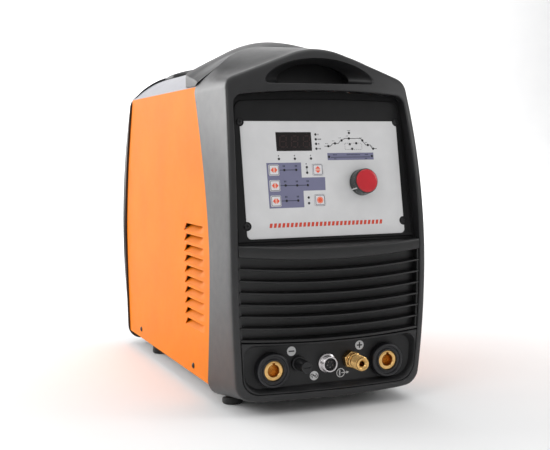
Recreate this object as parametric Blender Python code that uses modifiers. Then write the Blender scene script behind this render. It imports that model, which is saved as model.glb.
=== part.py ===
"""TIG welding machine with a moulded front and rear bezel, sheet-steel sides and a top handle.

Metres, +Z up. X runs across the machine, the front faces -Y, and the origin is on the floor
under the middle of the bounding box. Each named object is one piece of the assembly.
"""

import math

import bmesh
import bpy
from mathutils import Matrix, Vector

# Driving dimensions
FRONT, REAR = -1, 1
GAP = 0.0003  # clearance between neighbouring pieces
RIM_Y = 0.2535  # distance from the middle to the plane of each bezel's foremost edge
TIP_Y = 0.2735  # distance from the middle to the tips of the gas fittings
HALF_WIDTH = 0.1188  # widest half-width of the bezels, at their outer edge
INNER_HALF = 0.1170  # half-width at their inner edge, which hides the side panels' edges
WIDEST_Z = 0.170
BOTTOM_Z = 0.0173  # underside of a bezel at its outer edge
BOTTOM_DROP = 0.0110  # how much lower the underside is at the inner edge
CORNER_R = 0.020
CORNER_TOP = BOTTOM_Z + CORNER_R  # height where the outer edge's bottom corners meet the sides
SHOULDER_Z = 0.3565
SHOULDER_X = 0.100
CROWN_Z = 0.4048  # top of a bezel's front edge
CROWN_ROUND = 0.033  # half-width of the rounded top of the crown
CROWN_SLOPE = math.tan(math.radians(20.6))
BAND_CROWN_Z = {FRONT: 0.4150, REAR: 0.4060}  # top of the inner edge of the front and the rear bezel
BAND_CUBE = {FRONT: 30.0, REAR: 27.0}  # the inner edge falls with the cube of X
BOW = 0.011  # how far the front bulges forward at the middle
BOW_HALF = 0.115
RECESS_R = 0.0065  # shallow round recess on top of the front crown
RECESS_AT = (-0.003, 0.117 - RIM_Y, 0.4111)
FRONT_RIM, REAR_RIM = 0.0083, 0.0130  # width of each bezel's rim beside its window
WALL = 0.003
SHEET = 0.0012
PANEL_X = 0.1140  # outer face of the steel side panels
PANEL_BOTTOM = 0.019
PANEL_TOP = 0.3655
FOOT_R = 0.012
FOOT_X = 0.092
FRONT_FOOT_Y = 0.080 - RIM_Y
BASE_Z = 0.0210
BASE_THICK = 0.002
FASCIA_TILT = math.atan2(0.0218, 0.128)  # recline of the control fascia
FASCIA_Z = 0.1948  # height of the label plate's lower edge
FASCIA_Y = 0.0128 - RIM_Y  # its distance front to rear
DECK_Z = 0.190  # top of the shelf under the fascia
SLAT_PITCH = 0.0129
SLAT_COUNT = 7
SLAT_TOP = 0.1757
GRILLE_LOW = 0.0839  # underside of the grille
DROOP = 0.0053  # how far the slats hang lower at the middle
SOCKET_X = 0.0700
SOCKET_Z = 0.0504
CONNECTOR_Y = 0.014 - RIM_Y  # floor of the connector recess
REAR_PLATE_Y = RIM_Y - 0.020  # outer face of the rear plate
FAN_Z = 0.205
FAN_R = 0.0565
BLADES = 7
HANDLE_HALF = 0.020
FINGER_DISH_Z = 0.372

COLLECTION = "tig_welding_machine"
COLOURS = {
    "black_plastic": ((0.055, 0.055, 0.060), 0.50, 0.0),
    "dark_plastic": ((0.020, 0.020, 0.022), 0.55, 0.0),
    "orange_steel": ((0.90, 0.26, 0.04), 0.40, 0.0),
    "grey_steel": ((0.42, 0.43, 0.46), 0.45, 0.6),
    "zinc_steel": ((0.60, 0.60, 0.58), 0.35, 0.9),
    "label_film": ((0.62, 0.62, 0.62), 0.35, 0.0),
    "display_film": ((0.030, 0.008, 0.010), 0.15, 0.0),
    "white_key": ((0.85, 0.85, 0.85), 0.40, 0.0),
    "red_plastic": ((0.55, 0.02, 0.03), 0.25, 0.0),
    "brass": ((0.75, 0.52, 0.20), 0.25, 1.0),
    "nickel": ((0.65, 0.64, 0.62), 0.25, 1.0),
    "aluminium": ((0.72, 0.73, 0.74), 0.35, 1.0),
    "copper": ((0.72, 0.34, 0.18), 0.30, 1.0),
    "ferrite": ((0.06, 0.06, 0.065), 0.70, 0.0),
    "circuit_board": ((0.02, 0.16, 0.07), 0.50, 0.0),
    "rubber": ((0.025, 0.025, 0.025), 0.80, 0.0),
    "gas_hose": ((0.10, 0.10, 0.11), 0.45, 0.0),
}

# Bezel windows: height of each foot
FRONT_LOW, REAR_LOW = 0.0246, 0.0300

# Roof and side sheets
ROOF_HALF = 0.1122
ROOF_CROWN_Z, ROOF_CUBE = 0.4025, 26.2  # the roof would reach this height without its dish
RIDGE_X = 0.060
DISH_X = 0.046
ROOF_BENDS = [DISH_X] + [RIDGE_X + (ROOF_HALF - RIDGE_X) * i / 4 for i in range(5)]
VENT_COUNT = 10
VENT_PITCH = 0.0130
VENT_TOP = 0.2020
VENT_HALF = 0.0085
VENT_Y = 0.176 - RIM_Y  # middle of the vent mouths, front to rear

# Handle: distance behind the front rim plane, half-width, top, fall at the sides, spread, underside.
# Spread 0 follows a bezel's inner edge, and spread 1 is an arch whose flanks are straight.
HANDLE_STATIONS = [
    (0.1003, 0.1150, 0.4150, 0.0, 0.0, 0.360), (0.115, 0.1150, 0.4166, 0.0, 0.15, 0.360),
    (0.132, 0.1145, 0.4185, 0.0, 0.40, 0.360), (0.150, 0.1142, 0.4205, 0.0, 0.60, 0.360),
    (0.165, 0.1140, 0.4237, 0.0, 0.70, 0.360), (0.177, 0.1130, 0.4256, 0.0, 0.84, 0.360),
    (0.184, 0.1090, 0.4264, 0.0, 0.92, 0.360), (0.191, 0.0970, 0.4266, 0.001, 1.0, 0.384),
    (0.200, 0.0740, 0.4266, 0.001, 1.0, 0.3975), (0.209, 0.0600, 0.4266, 0.004, 1.0, 0.3975),
    (0.218, 0.0420, 0.4266, 0.006, 1.0, 0.3990), (0.230, 0.0280, 0.4266, 0.010, 1.0, 0.4025),
    (0.252, HANDLE_HALF, 0.4266, 0.013, 1.0, 0.4045), (0.287, HANDLE_HALF, 0.4248, 0.013, 1.0, 0.4030),
    (0.315, HANDLE_HALF, 0.4215, 0.013, 1.0, 0.4005), (0.345, 0.0220, 0.4180, 0.0125, 1.0, 0.3980),
    (0.364, 0.0250, 0.4150, 0.011, 1.0, 0.3955), (0.380, 0.0330, 0.4128, 0.008, 0.8, 0.3900),
    (0.394, 0.0460, 0.4118, 0.004, 0.5, 0.3975), (0.408, 0.0620, 0.4108, 0.001, 0.2, 0.360),
    (0.424, 0.0650, 0.4085, 0.0, 0.1, 0.360), (0.4437, 0.0650, 0.4060, 0.0, 0.0, 0.360),
]
ROOT_ARC = 4.51  # fall of the arched root with the square of X, as far as its straight flanks
FLANK_X = 0.0554
SEAM_Y = 0.1003  # where the root meets the front bezel at the shoulders
SETTLED_Y = 0.150  # from here back, each section of the root stands in one plane

# Control fascia: local X across, local Y up the reclined face, local Z out towards the user
FASCIA_TURN = (math.pi / 2 - FASCIA_TILT, 0, 0)
FASCIA_AT = (0, FASCIA_Y, FASCIA_Z)
FASCIA_THICK = 0.003
LABEL_HALF, LABEL_HIGH = 0.0962, 0.1298
LABEL_LOW_Z, LABEL_TOP_Z = 0.0003, 0.0011
KNOB_AT = (0.0455, 0.0593)
KEY_SIZE = 0.0125
KEYS = {"key_mode": (-0.0601, 0.0751), "key_trigger": (-0.0601, 0.0578), "key_current": (-0.0601, 0.0408),
        "key_adjust": (-0.0075, 0.0748), "key_gas_test": (-0.0075, 0.0406)}
DISPLAY = (-0.0548, -0.0125, 0.0965, 0.1171)  # left, right, bottom, top
LABEL_SCREWS = {"label_screw_top_left": (-0.0962, 0.1289), "label_screw_top_right": (0.0962, 0.1289),
                "label_screw_low_left": (-0.0955, 0.0143), "label_screw_low_right": (0.0955, 0.0143)}

# Connectors: across, height, radius of the hole in the panel
CONNECTOR_HOLES = {
    "socket_left": (-SOCKET_X, SOCKET_Z, 0.0131), "socket_right": (SOCKET_X, SOCKET_Z, 0.0131),
    "torch": (-0.0027, 0.0520, 0.0089), "gas": (0.0262, 0.0542, 0.0079), "fuse": (-0.0375, 0.0545, 0.0064),
}

# Rear panel and inside
SWITCH_AT = (-0.0735, 0.2740)
ROCKER_TILT = math.radians(8)
GLAND_AT = (-0.068, 0.0600)
INLET_AT = (0.068, 0.0600)
PLATE = 0.0015
TRAY_Z = 0.1180
SINK_Y = (-0.060, 0.120)


# Scene
def fresh_collection(name):
    group = bpy.data.collections.get(name) or bpy.data.collections.new(name)
    if name not in bpy.context.scene.collection.children:
        bpy.context.scene.collection.children.link(group)
    return group


def clear_scene():
    for old in list(bpy.data.objects):
        bpy.data.objects.remove(old)


clear_scene()
PARTS = fresh_collection(COLLECTION)
CUTTERS = fresh_collection("cutters")


def material(node, finish):
    colour, roughness, metallic = COLOURS[finish]
    made = bpy.data.materials.new(node)
    made.use_nodes = True
    shader = made.node_tree.nodes["Principled BSDF"]
    shader.inputs["Base Color"].default_value = (*colour, 1.0)
    shader.inputs["Roughness"].default_value = roughness
    shader.inputs["Metallic"].default_value = metallic
    made.diffuse_color = (*colour, 1.0)
    return made


def add(name, mesh, finish, location=(0, 0, 0), rotation=(0, 0, 0), parent=None):
    piece = bpy.data.objects.new(name, mesh)
    piece.location, piece.rotation_euler, piece.parent = location, rotation, parent
    mesh.materials.append(material(name, finish))
    PARTS.objects.link(piece)
    return piece


def add_cutter(name, mesh, location=(0, 0, 0), rotation=(0, 0, 0)):
    cutter = bpy.data.objects.new(name, mesh)
    cutter.location, cutter.rotation_euler = location, rotation
    cutter.hide_render, cutter.display_type = True, "WIRE"
    CUTTERS.objects.link(cutter)
    return cutter


def cut(piece, cutter, operation="DIFFERENCE"):
    modifier = piece.modifiers.new(cutter.name, "BOOLEAN")
    modifier.object, modifier.operation, modifier.solver = cutter, operation, "EXACT"


def pivot(name, location):
    """An empty on a joint's axis, which carries the pieces that move together."""
    empty = bpy.data.objects.new(name, None)
    empty.location = location
    PARTS.objects.link(empty)
    return empty


# Mesh makers
def mesh_of(work, name):
    bmesh.ops.recalc_face_normals(work, faces=work.faces)
    mesh = bpy.data.meshes.new(name)
    work.to_mesh(mesh)
    work.free()
    return mesh


def add_box(work, size, centre):
    place = Matrix.Translation(centre) @ Matrix.Diagonal((*size, 1.0))
    bmesh.ops.create_cube(work, size=1.0, matrix=place)


def box_mesh(name, size, centre=(0, 0, 0), bevel=0.0):
    work = bmesh.new()
    add_box(work, size, centre)
    if bevel:
        bmesh.ops.bevel(work, geom=work.edges[:], offset=bevel, segments=1, affect="EDGES")
    return mesh_of(work, name)


def boxes_mesh(name, boxes):
    """Several boxes in one mesh, each as its size and centre, for a cutter."""
    work = bmesh.new()
    for size, centre in boxes:
        add_box(work, size, centre)
    return mesh_of(work, name)


def prism_mesh(name, outline, low, high):
    """A flat outline of (u, v) points made solid from height low to high along the local Z."""
    work = bmesh.new()
    face = work.faces.new([work.verts.new((u, v, low)) for u, v in outline])
    swept = bmesh.ops.extrude_face_region(work, geom=[face])["geom"]
    moved = [item for item in swept if isinstance(item, bmesh.types.BMVert)]
    bmesh.ops.translate(work, verts=moved, vec=(0, 0, high - low))
    return mesh_of(work, name)


def loft_mesh(name, rings, closed=False):
    """Skins rings of equally many points; the ends are capped, or joined where closed is True."""
    work = bmesh.new()
    loops = [[work.verts.new(point) for point in ring] for ring in rings]
    pairs = list(zip(loops, loops[1:] + loops[:1] if closed else loops[1:]))
    for first, second in pairs:
        for i in range(len(first)):
            j = (i + 1) % len(first)
            work.faces.new((first[i], first[j], second[j], second[i]))
    if not closed:
        work.faces.new(loops[0])
        work.faces.new(loops[-1])
    return mesh_of(work, name)


def turned(name, profile, finish, location, axis="Z", steps=24, parent=None, bore=False):
    """Turns a (radius, height) profile, listed from its top down; bore closes it into a ring."""
    mesh = bpy.data.meshes.new(name)
    points = [(radius, 0, height) for radius, height in profile]
    edges = [(i, i + 1) for i in range(len(points) - 1)]
    if bore:
        edges.append((len(points) - 1, 0))
    mesh.from_pydata(points, edges, [])
    turn = {"Z": (0, 0, 0), "FRONT": (math.pi / 2, 0, 0), "REAR": (-math.pi / 2, 0, 0)}[axis]
    piece = add(name, mesh, finish, location, turn, parent)
    screw = piece.modifiers.new("turn", "SCREW")
    screw.steps = screw.render_steps = steps
    screw.use_merge_vertices, screw.merge_threshold = True, 0.0001
    screw.use_smooth_shade = True
    return piece


def cylinder_mesh(name, radius, low, high, sides=24):
    work = bmesh.new()
    middle = Matrix.Translation((0, 0, (low + high) / 2))
    bmesh.ops.create_cone(work, cap_ends=True, segments=sides, radius1=radius, radius2=radius,
                          depth=high - low, matrix=middle)
    return mesh_of(work, name)


def rounded_outline(half_u, low_v, high_v, radius, steps=4):
    """Points round a rectangle with rounded corners, anticlockwise from the lower right."""
    points = []
    centres = [(half_u - radius, low_v + radius, -90), (half_u - radius, high_v - radius, 0),
               (radius - half_u, high_v - radius, 90), (radius - half_u, low_v + radius, 180)]
    for u, v, start in centres:
        for step in range(steps + 1):
            angle = math.radians(start + 90 * step / steps)
            points.append((u + radius * math.cos(angle), v + radius * math.sin(angle)))
    return points


# Bezels
def half_width(z):
    fall = 0.20 if z > WIDEST_Z else 0.31
    return HALF_WIDTH - fall * (z - WIDEST_Z) ** 2


def setback(z):
    """How far the bezel's outer edge lies behind the rim plane at height z."""
    lean = 0.84 if z > 0.160 else 0.37
    return 0.0021 + lean * (z - 0.160) ** 2


def bulge(x):
    return BOW * (1 - (x / BOW_HALF) ** 2)


def parting(z, side):
    """Depth of a bezel's inner edge behind its rim plane."""
    if side == FRONT:
        least, rise, drop, over_top = 0.0817, 0.0508, 0.0134, 0.0325
    else:
        least, rise, drop, over_top = 0.0110, 0.0512, 0.0090, 0.0
    if z > PANEL_TOP:
        shoulder = min(1.0, (z - PANEL_TOP) / 0.0195)
        middle = min(1.0, max(0.0, z - 0.3915) / 0.0235) ** 1.3
        return least + rise + over_top * (middle - shoulder)
    if z > 0.165:
        return least + rise * ((z - 0.165) / 0.2005) ** 1.6
    return least + drop * (max(0.165 - z, 0.0) / 0.149) ** 1.6


def crown(x, blend, side):
    """Height of the crown at X, from the outer edge (blend 0) to the inner edge (blend 1)."""
    x = abs(x)
    rounding = CROWN_SLOPE / (2 * CROWN_ROUND)
    outer = CROWN_Z - rounding * min(x, CROWN_ROUND) ** 2 - CROWN_SLOPE * max(0.0, x - CROWN_ROUND)
    inner = BAND_CROWN_Z[side] - BAND_CUBE[side] * x**3
    return outer + blend * (inner - outer)


def side_x_at(z, blend):
    return half_width(z) + blend * (INNER_HALF - half_width(z))


def bottom_sag(x):
    return 0.0018 * (1 - (x / 0.105) ** 2)


def bezel_outline(blend, side=FRONT):
    """The bezel's section across Y as (x, z) points, from the bottom middle up the right side."""
    half = []
    bottom, corner_top = BOTTOM_Z - blend * BOTTOM_DROP, CORNER_TOP - blend * BOTTOM_DROP
    corner = (side_x_at(corner_top, blend) - CORNER_R, corner_top)
    for i in range(4):
        x = i / 4 * corner[0]
        half.append((x, bottom - bottom_sag(x)))
    for i in range(5):
        angle = math.radians(-90 + 90 * i / 4)
        half.append((corner[0] + CORNER_R * math.cos(angle), corner[1] + CORNER_R * math.sin(angle)))
    for i in range(1, 8):
        z = corner_top + (SHOULDER_Z - corner_top) * i / 7
        half.append((side_x_at(z, blend), z))
    side_x = side_x_at(SHOULDER_Z, blend)
    ends = Vector((side_x, SHOULDER_Z)), Vector((SHOULDER_X, crown(SHOULDER_X, blend, side)))
    bend = Vector((side_x, crown(side_x, blend, side)))
    for i in range(1, 5):
        t = i / 4
        point = ends[0] * (1 - t) ** 2 + bend * 2 * t * (1 - t) + ends[1] * t**2
        half.append((point.x, point.y))
    for i in range(1, 9):
        x = SHOULDER_X * (1 - i / 8)
        half.append((x, crown(x, blend, side)))
    return half + [(-x, z) for x, z in half[-2:0:-1]]


def inset(outline, distance):
    """Moves every point of an outline inwards by the distance, square to the outline."""
    moved = []
    for i, point in enumerate(outline):
        before, after = Vector(outline[i - 1]), Vector(outline[(i + 1) % len(outline)])
        along = (after - before).normalized()
        moved.append((point[0] - along.y * distance, point[1] + along.x * distance))
    return moved


def window_half(z, rim, low):
    """Half-width of a bezel's window at height z, above the round corners at its foot."""
    return half_width(max(z, low + CORNER_R)) - rim


def window_outline(rim, low, brow, arch):
    """A bezel's window, with a point for each point of the bezel's outline."""
    outer = bezel_outline(0.0)
    middle = len(outer) // 2
    flat_end = half_width(CORNER_TOP) - CORNER_R
    corner_x = window_half(low, rim, low) - CORNER_R
    brow_r = 0.6 * CORNER_R
    side_top = brow - brow_r
    brow_x = window_half(side_top, rim, low) - brow_r
    points = []
    for i, (x, z) in enumerate(outer[: middle + 1]):
        if i < 4:
            points.append((x / flat_end * corner_x, low))
        elif i < 9:
            points.append((corner_x + (x - flat_end), low + (z - BOTTOM_Z)))
        elif i < 15:
            up = (z - CORNER_TOP) / (outer[14][1] - CORNER_TOP)
            height = low + CORNER_R + up * (side_top - low - CORNER_R)
            points.append((window_half(height, rim, low), height))
        elif i < 20:
            angle = math.radians(90 * (i - 14) / 5)
            points.append((brow_x + brow_r * math.cos(angle), side_top + brow_r * math.sin(angle)))
        else:
            x = brow_x * (1 - (i - 19) / (middle - 19))
            points.append((x, brow + arch * (1 - (x / brow_x) ** 2)))
    return points + [(-x, z) for x, z in points[-2:0:-1]]


def face_depth(x, z):
    return setback(z) - bulge(x)


def ring(outline, depth, side):
    """Points of an outline at the given depth behind the rim plane, a number or a function."""
    placed = []
    for x, z in outline:
        behind = depth(x, z) if callable(depth) else depth
        placed.append((x, side * (RIM_Y - behind), z))
    return placed


def bezel(name, side, window):
    lip = 0.010 if side == FRONT else 0.005
    outer, middle, inner = (bezel_outline(blend, side) for blend in (0.0, 0.5, 1.0))
    halfway = [((a + c) / 2, (b + d) / 2) for (a, b), (c, d) in zip(inset(outer, 0.006), window)]
    around = inset(window, -0.002)

    def behind_face(extra):
        return lambda x, z: face_depth(x, z) + extra

    def part_way(x, z):
        return (face_depth(x, z) + lip + parting(z, side)) / 2

    rings = [
        ring(inner, lambda x, z: parting(z, side), side),
        ring(middle, part_way, side),
        ring(outer, behind_face(lip), side),
        ring(inset(outer, 0.0018), behind_face(0.002), side),
        ring(inset(outer, 0.006), behind_face(0.0), side),
        ring(halfway, behind_face(0.0), side),
        ring(window, behind_face(0.0), side),
        ring(window, behind_face(0.020), side),
        ring(around, behind_face(0.020), side),
        ring(around, behind_face(0.004), side),
        ring(inset(outer, WALL), behind_face(0.005), side),
        ring(inset(inner, WALL), lambda x, z: parting(z, side), side),
    ]
    shell = add(name, loft_mesh(name, rings, closed=True), "black_plastic")
    shell.data.shade_smooth()
    shell.data.set_sharp_from_angle(angle=math.radians(35))
    return shell


def grip_outline(half, top, base, steps=7):
    """An arch over a flat base, as wide as 2 * half, as (x, z) points from the lower right."""
    points = [(half - 0.004, base), (half, base + 0.004)]
    for i in range(1, 2 * steps):
        angle = math.pi * i / (2 * steps)
        points.append((half * math.cos(angle), base + 0.004 + (top - base - 0.004) * math.sin(angle) ** 1.3))
    return points + [(-half, base + 0.004), (0.004 - half, base)]


def grip(side):
    """A finger pocket in a bezel's crown, and the hole that it sits in."""
    end, deep = ("front", 0.022) if side == FRONT else ("rear", 0.015)
    lip, back = grip_outline(0.0665, 0.3935, 0.3645), grip_outline(0.0450, 0.3885, 0.3665)

    def face(x, z):
        return face_depth(x, z) + 0.0004

    wall = 0.002
    rings = [
        ring(inset(lip, wall), face, side),
        ring(inset(back, wall), lambda x, z: face_depth(x, z) + deep, side),
    ]
    inner_floor = rings[-1]
    outside = [ring(back, lambda x, z: face_depth(x, z) + deep + wall, side), ring(lip, face, side)]
    mesh = cup_mesh(end + "_grip_pocket", outside[1], outside[0], inner_floor, rings[0])
    add(end + "_grip_pocket", mesh, "dark_plastic")
    shape = inset(lip, -GAP)
    back_shape = inset(back, -GAP)
    ends = [ring(shape, lambda x, z: face_depth(x, z) - 0.004, side),
            ring(shape, face, side),
            ring(back_shape, lambda x, z: face_depth(x, z) + 0.030, side)]
    return add_cutter(end + "_grip_hole", loft_mesh(end + "_grip_hole", ends))


def cup_mesh(name, outer_lip, outer_floor, inner_floor, inner_lip):
    """A tapered cup from four rings: out to the floor behind, and back inside to the lip."""
    return loft_mesh(name, [outer_floor, outer_lip, inner_lip, inner_floor])


FRONT_WINDOW = window_outline(FRONT_RIM, FRONT_LOW, 0.3525, 0.0045)
REAR_WINDOW = window_outline(REAR_RIM, REAR_LOW, 0.2960, 0.0030)


def bezels():
    for side, name, window in ((FRONT, "front_bezel", FRONT_WINDOW), (REAR, "rear_bezel", REAR_WINDOW)):
        shell = bezel(name, side, window)
        cut(shell, grip(side))
        if side == FRONT:
            recess = cylinder_mesh("crown_recess", RECESS_R, 0, 0.02, 20)
            cut(shell, add_cutter("crown_recess", recess, RECESS_AT))



# Steel casing
def side_panels():
    """The two side sheets, each with a column of slanted vent mouths near the front."""
    sides = bezel_outline(1.0)
    heights = [PANEL_BOTTOM] + [z for _, z in sides[5:17] if z > PANEL_BOTTOM + 0.001] + [PANEL_TOP]
    slack = 0.0008
    front_edge = [(parting(z, FRONT) + slack - RIM_Y, z) for z in heights]
    rear_edge = [(RIM_Y - parting(z, REAR) - slack, z) for z in reversed(heights)]
    mouths = vent_wedges()
    for name, low in (("side_panel_left", -PANEL_X), ("side_panel_right", PANEL_X - SHEET)):
        panel = add(name, prism_mesh(name, front_edge + rear_edge, low, low + SHEET), "orange_steel",
                    rotation=(math.pi / 2, 0, math.pi / 2))
        cut(panel, add_cutter(name + "_vents", mouths.copy(), (low, 0, 0)))


def vent_wedges():
    """One mesh with a wedge for each vent mouth, wide enough to go through a side sheet."""
    work = bmesh.new()
    for i in range(VENT_COUNT):
        top = VENT_TOP - i * VENT_PITCH
        front, back = VENT_Y - VENT_HALF, VENT_Y + VENT_HALF
        corners = [(front, top), (back, top), (back, top - VENT_HALF)]
        ends = [[work.verts.new((x, y, z)) for y, z in corners] for x in (-0.002, SHEET + 0.002)]
        work.faces.new(ends[0])
        work.faces.new(ends[1])
        for a in range(3):
            b = (a + 1) % 3
            work.faces.new((ends[0][a], ends[0][b], ends[1][b], ends[1][a]))
    return mesh_of(work, "vent_wedges")


def roof_arch(x):
    return ROOF_CROWN_Z - ROOF_CUBE * abs(x) ** 3


def roof_top(x):
    """Height of the roof sheet at X: an arch with a flat dish for the fingers under the handle."""
    x = min(abs(x), ROOF_HALF)
    if x > RIDGE_X:
        return roof_arch(x)
    up = max(0.0, x - DISH_X) / (RIDGE_X - DISH_X)
    return FINGER_DISH_Z + up * (roof_arch(RIDGE_X) - FINGER_DISH_Z)


def casing():
    front, rear = 0.0955 - RIM_Y, RIM_Y - 0.0205
    add("base_plate", box_mesh("base_plate", (2 * ROOF_HALF, rear - front, BASE_THICK),
                               (0, (front + rear) / 2, BASE_Z + BASE_THICK / 2)), "zinc_steel")
    side_panels()
    bends = [-x for x in reversed(ROOF_BENDS)] + ROOF_BENDS
    section = [(x, roof_top(x)) for x in bends] + [(x, roof_top(x) - SHEET) for x in reversed(bends)]
    ends = (parting(PANEL_TOP, FRONT) + 0.001 - RIM_Y, RIM_Y - parting(PANEL_TOP, REAR) - 0.001)
    rings = [[(x, y, z) for x, z in section] for y in ends]
    add("roof_cover", loft_mesh("roof_cover", rings), "grey_steel")
    foot = [(0, 0.0207), (FOOT_R, 0.0207), (FOOT_R, 0.0020), (FOOT_R - 0.001, 0), (0, 0)]
    for side, end in ((-1, "left"), (1, "right")):
        turned("foot_rear_" + end, foot, "rubber", (side * FOOT_X, 0.392 - RIM_Y, 0), steps=16)
        add("foot_front_" + end, front_foot(side * FOOT_X), "rubber")


def front_foot(across):
    """A low rubber foot under the front bezel, with a top that follows the bezel's sloping underside."""
    rings = []
    for radius, share in ((FOOT_R - 0.001, 0.0), (FOOT_R, 0.25), (FOOT_R, 1.0)):
        points = []
        for i in range(16):
            angle = 2 * math.pi * i / 16
            x, y = across + radius * math.cos(angle), FRONT_FOOT_Y + radius * math.sin(angle)
            points.append((x, y, share * (underside(y) - 0.0012)))
        rings.append(points)
    return loft_mesh("front_foot", rings)


def underside(y):
    """Height of the front bezel's underside at Y, near its inner edge."""
    behind = y + RIM_Y
    inner, outer = parting(BOTTOM_Z - BOTTOM_DROP, FRONT), face_depth(0, BOTTOM_Z) + 0.010
    return BOTTOM_Z - BOTTOM_DROP * (behind - outer) / (inner - outer)



def handle_fall(x, behind, spread):
    x = abs(x)
    inner_edge = BAND_CUBE[FRONT if behind < 0.27 else REAR] * x**3
    flank = ROOT_ARC * min(x, FLANK_X) ** 2 + 2 * ROOT_ARC * FLANK_X * max(0.0, x - FLANK_X)
    return inner_edge + spread * (flank - inner_edge)


def underside_xs(half):
    """Positions across the underside, from its edge inwards, with one at each bend of the roof."""
    inner = [x for x in ROOF_BENDS if x < 0.97 * half]
    start = inner[-1] if inner else 0.4 * half
    spare = len(ROOF_BENDS) - len(inner) + 1
    return [half - (half - start) * i / spare for i in range(spare)] + inner[::-1]


def handle_section(behind, half, top, side_fall, spread, lowest):
    """One section of the handle: an arched top, upright sides and an underside clear of the roof."""
    xs = underside_xs(half)
    under = [(x, max(lowest, roof_top(x) + 0.0006)) for x in [-x for x in xs] + xs[::-1]]
    over = []
    for i in range(15):
        x = half * math.cos(math.pi * i / 14)
        over.append((x, top - handle_fall(x, behind, spread) - side_fall * abs(x / half) ** 3))
    unsettled = max(0.0, (SETTLED_Y - behind) / (SETTLED_Y - SEAM_Y))
    points = []
    for x, z in under + over:
        seam = parting(z, FRONT) + 0.0015
        points.append((x, behind + unsettled * (seam - SEAM_Y) - RIM_Y, z))
    return points


def handle():
    rings = [handle_section(*station) for station in HANDLE_STATIONS]
    grip_bar = add("handle", loft_mesh("handle", rings), "black_plastic")
    grip_bar.data.shade_smooth()
    grip_bar.data.set_sharp_from_angle(angle=math.radians(40))


def on_fascia(name, mesh, finish, at=(0, 0), lift=0.0, parent=None):
    """Places a piece drawn in the fascia's own frame, at a point on its face."""
    turn = Matrix.Rotation(FASCIA_TURN[0], 4, "X")
    place = Vector(FASCIA_AT) + turn @ Vector((at[0], at[1], lift))
    return add(name, mesh, finish, place, FASCIA_TURN, parent)


def control_face():
    lean = math.cos(FASCIA_TILT)
    edge = [(x, (z - FASCIA_Z) / lean) for x, z in inset(FRONT_WINDOW, 0.0006) if z > DECK_Z + 0.02]
    outline = [(edge[0][0], (DECK_Z + 0.001 - FASCIA_Z) / lean)] + edge
    outline.append((-outline[0][0], outline[0][1]))
    fascia_mesh = prism_mesh("control_fascia", outline, -FASCIA_THICK, 0)
    fascia = on_fascia("control_fascia", fascia_mesh, "dark_plastic")
    label_shape = rounded_outline(LABEL_HALF, 0, LABEL_HIGH, 0.005, steps=3)
    label_mesh = prism_mesh("label_plate", label_shape, LABEL_LOW_Z, LABEL_TOP_Z)
    label = on_fascia("label_plate", label_mesh, "label_film")
    hole = KEY_SIZE + 0.0008
    key_holes = [((hole, hole, 0.02), (x, y, 0)) for x, y in KEYS.values()]
    for piece in (fascia, label):
        holes = boxes_mesh(piece.name + "_key_holes", key_holes)
        cut(piece, add_cutter(piece.name + "_key_holes", holes, FASCIA_AT, FASCIA_TURN))
        shaft_hole = on_face_cylinder(piece.name + "_shaft_hole", 0.0042, KNOB_AT)
        cut(piece, shaft_hole)
    left, right, low, high = DISPLAY
    window_hole = boxes_mesh("display_hole", [((right - left + 0.0008, high - low + 0.0008, 0.01),
                                               ((left + right) / 2, (low + high) / 2, 0.001))])
    cut(label, add_cutter("display_hole", window_hole, FASCIA_AT, FASCIA_TURN))
    on_fascia("display_window", box_mesh("display_window", (right - left, high - low, 0.0011),
                                         ((left + right) / 2, (low + high) / 2, 0.00085)), "display_film")
    for name, at in LABEL_SCREWS.items():
        cut(label, on_face_cylinder(name + "_notch", 0.0052, at))
        head = [(0, 0.0026), (0.0022, 0.0026), (0.0033, 0.0016), (0.0033, GAP), (0, GAP)]
        screw = turned(name, head, "dark_plastic", (0, 0, 0), steps=12)
        screw.matrix_world = fascia_matrix(at)
    board = ((0.140, 0.095, 0.0016), (0, 0.0725, -0.0117))
    on_fascia("control_board", box_mesh("control_board", *board), "circuit_board")


def fascia_matrix(at, lift=0.0):
    turn = Matrix.Rotation(FASCIA_TURN[0], 4, "X")
    return Matrix.Translation(Vector(FASCIA_AT) + turn @ Vector((at[0], at[1], lift))) @ turn


def on_face_cylinder(name, radius, at):
    cutter = add_cutter(name, cylinder_mesh(name, radius, -0.01, 0.01, 20))
    cutter.matrix_world = fascia_matrix(at)
    return cutter


def controls():
    """The adjusting knob on its shaft, and five keys that press into the fascia."""
    axis = pivot("knob_axis", fascia_matrix(KNOB_AT).translation)
    axis.rotation_euler = FASCIA_TURN
    skirt = [(0, 0.0150), (0.0140, 0.0150), (0.0150, 0.0050), (0.0150, 0.0016), (0.0032, 0.0016),
             (0.0032, 0.0120), (0, 0.0120)]
    turned("knob_body", skirt, "dark_plastic", (0, 0, 0), steps=28, parent=axis)
    cap = [(0, 0.0175), (0.0115, 0.0172), (0.0130, 0.0160), (0.0130, 0.0153), (0, 0.0153)]
    turned("knob_cap", cap, "red_plastic", (0, 0, 0), steps=28, parent=axis)
    shaft = [(0, 0.0117), (0.0029, 0.0117), (0.0029, -0.0105), (0, -0.0105)]
    turned("knob_shaft", shaft, "nickel", (0, 0, 0), steps=12, parent=axis)
    for name, at in KEYS.items():
        key = box_mesh(name, (KEY_SIZE, KEY_SIZE, 0.0072), (0, 0, -0.0017), bevel=0.0008)
        on_fascia(name, key, "white_key", at)


# Front grille and connector panel
def across(half, count):
    return [half * (2 * i / (count - 1) - 1) for i in range(count)]


def sag(x, amount):
    return amount * (1 - (x / 0.110) ** 2)


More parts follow.
